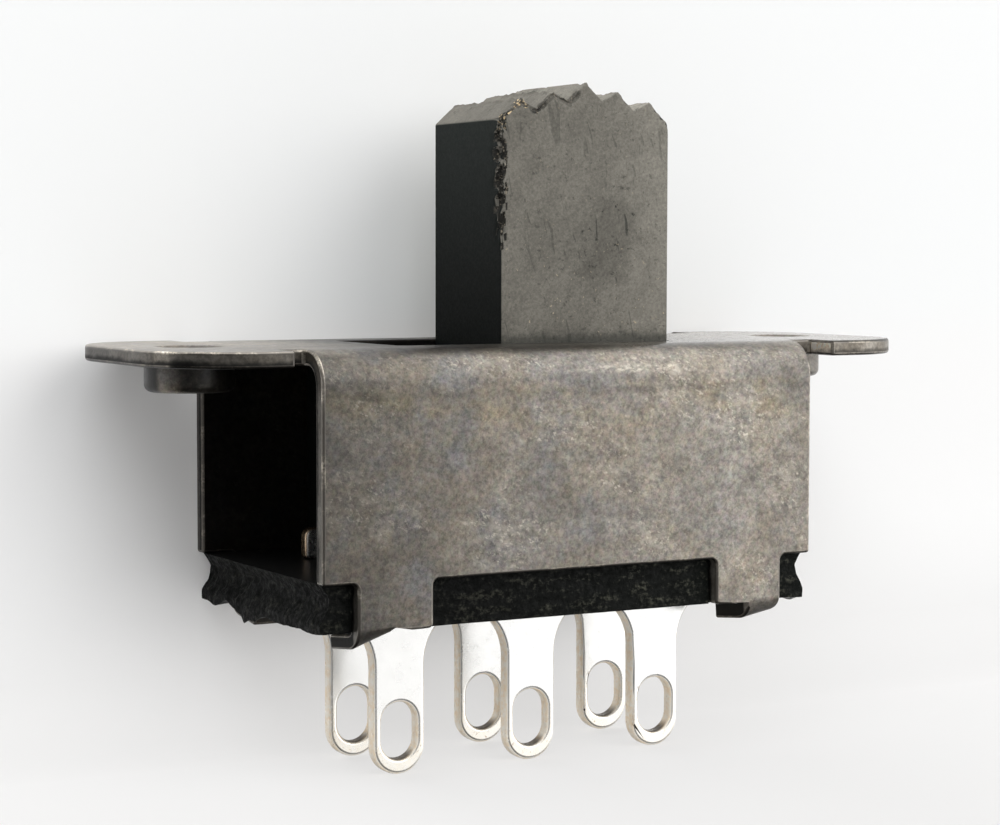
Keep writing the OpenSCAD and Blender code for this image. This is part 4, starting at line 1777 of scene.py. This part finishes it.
@dataclass
class Studio:
    """The camera, the lights, the pale surface behind the switch and the pale floor."""

    azimuth: float = 29.165
    elevation: float = 3.72
    distance: float = 104.83
    aside: float = -0.15
    up: float = -3.06
    roll: float = 0.09
    lens: float = 88.81
    sensor: float = 36
    clip: Span = (0.005, 10)
    back_y: float = 6.42
    white: float = 0.955
    ambient: float = 0.42
    gloss: Span = (-0.2, 1.7)
    underside: Span = (1.55, 0.12)
    key: Lamp = Lamp("key", (0.42, -0.8, 0.42), 0.85, 5.6, (1, 0.985, 0.965))
    top: Lamp = Lamp("top", (-0.26, -0.42, 0.7), 0.6, 3.8, (0.96, 0.98, 1))
    rear: Lamp = Lamp("rear", (-0.1, 0.5, 0.18), 0.4, 2.8, (1, 1, 1))
    cove: float = 3.4
    far: float = 600.0
    card: Colour = (0.93, 0.93, 0.93)
    floor_white: Colour = (0.82, 0.815, 0.81)
    floor_glow: float = 0.75
    fill: float = 0.1
    low_tint: Colour = (0.87, 0.845, 0.82)
    fill_tint: Colour = (0.8, 0.88, 0.88)
    fill_rise: Slope = Slope(Along.Z, -1, 2)
    fade: float = 9.0

    def camera(self) -> None:
        """Sets the camera at the object's viewing angle, level with the flange."""
        az, el = math.radians(self.azimuth), math.radians(self.elevation)
        back = Vector((-math.sin(az) * math.cos(el), -math.cos(az) * math.cos(el), math.sin(el)))
        right = Vector((math.cos(az), -math.sin(az), 0))
        above = back.cross(right)
        roll = Matrix.Rotation(math.radians(self.roll), 3, "Z")
        turn = Matrix((right, above, back)).transposed() @ roll
        data = bpy.data.cameras.new("camera")
        data.lens = self.lens
        data.sensor_width = self.sensor
        data.clip_start, data.clip_end = self.clip
        eye = linked("camera", data)
        place = (back * self.distance + right * self.aside + above * self.up) * MM
        eye.matrix_world = Matrix.Translation(place) @ turn.to_4x4()
        bpy.context.scene.camera = eye

    def pale(self, name: str, floor: float, one_sided: bool) -> bpy.types.Material:
        """Builds a pale matt card.

        The camera sees it whiter the nearer the floor it is, and everywhere through a thin
        fill of light that is cooler above the switch's middle than below.

        Args:
            name: the material's name.
            floor: the floor's height, in millimetres.
            one_sided: leaves it clear from behind.

        Returns:
            The material.
        """
        g = Finish(name)
        g.set(Base_Color=self.card, Roughness=0.9, Specular_IOR_Level=0.0)
        surface = g.shader.outputs[0]
        near = g.follow(Slope(Along.Z, floor, floor + self.fade, self.floor_glow, 0))
        tint = g.blend(g.within(self.fill_rise), self.low_tint, self.fill_tint)
        for share, colour in ((near, self.floor_white), (self.fill, tint)):
            glow = g.node("ShaderNodeEmission", 0, {"Color": colour})
            seen = g.node("ShaderNodeLightPath", "Is Camera Ray", {})
            surface = g.layered(g.times(seen, share), surface, glow)
        if one_sided:
            clear = g.node("ShaderNodeBsdfTransparent", 0, {})
            behind = g.node("ShaderNodeNewGeometry", "Backfacing", {})
            surface = g.layered(behind, surface, clear)
        g.feed(g.output, surface)
        return g.material

    def sweep(self, floor: float) -> None:
        """Adds the card that the switch stands in front of, and the floor under it.

        The card is a profile drawn along X: straight down behind the switch, then a quarter
        circle onto the floor. The floor is flat, and reaches behind the card too.

        Args:
            floor: the floor's height, in millimetres.
        """
        turn = np.linspace(0, math.pi / 2, 25)
        y = np.append(self.back_y, self.back_y - self.cove * (1 - np.cos(turn)))
        z = np.append(self.far, floor + self.cove * (1 - np.sin(turn)) + 0.01)
        x = np.array([-self.far, self.far])
        card = Skin("backdrop")
        card.add(np.stack(np.broadcast_arrays(x[None, :], y[:, None], z[:, None]), axis=-1), True)
        card = card.finish()
        dress(card, self.pale("backdrop_card", floor, True))
        card.visible_shadow = False
        ground = Skin("floor")
        ground.add(np.stack(np.broadcast_arrays(x[None, :], x[:, None], floor), axis=-1))
        ground = ground.finish()
        ground.visible_diffuse = False
        ground.visible_glossy = False
        dress(ground, self.pale("floor_card", floor, False))
        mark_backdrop(card, ground)

    def world(self) -> None:
        """Gives the room an even pale light, white behind all that the camera sees.

        Gloss sees a room that grows brighter to the right and overhead, and darker towards
        the ground: its value is a smooth ramp over the direction looked in. Diffuse light is
        stronger from below, as a white table throws it back.
        """
        world = bpy.data.worlds.new("room")
        world.use_nodes = True
        g = NodeGraph(world.node_tree)
        look = g.node("ShaderNodeTexCoord", "Generated", {})
        side, above = g.axis(look, "X"), g.axis(look, "Z")
        bright = g.plus(side, g.times(g.math("MAXIMUM", above, 0.0), 0.6))
        gloss = g.ramp(bright, -0.1, 0.9, *self.gloss)
        below = g.ramp(above, -0.08, -0.55)
        in_gloss = g.node("ShaderNodeLightPath", "Is Glossy Ray", {})
        seen = g.node("ShaderNodeLightPath", "Is Camera Ray", {})
        change = g.ramp(in_gloss, 0, 1, *(share - 1 for share in self.underside))
        value = g.plus(self.ambient, g.times(in_gloss, gloss))
        value = g.times(value, g.plus(1.0, g.times(below, change)))
        value = g.blend(seen, value, (self.white, self.white, self.white))
        room = g.node("ShaderNodeBackground", 0, {"Color": value})
        g.feed(g.tree.nodes.new("ShaderNodeOutputWorld").inputs["Surface"], room)
        bpy.context.scene.world = world

    def build(self) -> None:
        """Sets up the whole studio."""
        self.camera()
        self.world()
        for lamp in (self.key, self.top, self.rear):
            lamp.build()
        self.sweep(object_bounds()[0].z / MM - 0.02)
        bpy.context.scene.view_settings.view_transform = "Standard"


def main() -> None:
    """Builds the switch's pieces in order and reports each one."""
    logging.basicConfig(level=logging.INFO, format="%(name)s: %(message)s", stream=sys.stdout)
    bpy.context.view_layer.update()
    finishes = Finishes()
    SheetFrame().build(finishes)
    SlidingKnob().build(finishes)
    LaminateBoard().build(finishes)
    for row in Row:
        for place in Place:
            SolderTerminal(row, place).build(finishes)
    InnerWorks().build(finishes)
    Studio().build()


if __name__ == "__main__":
    main()
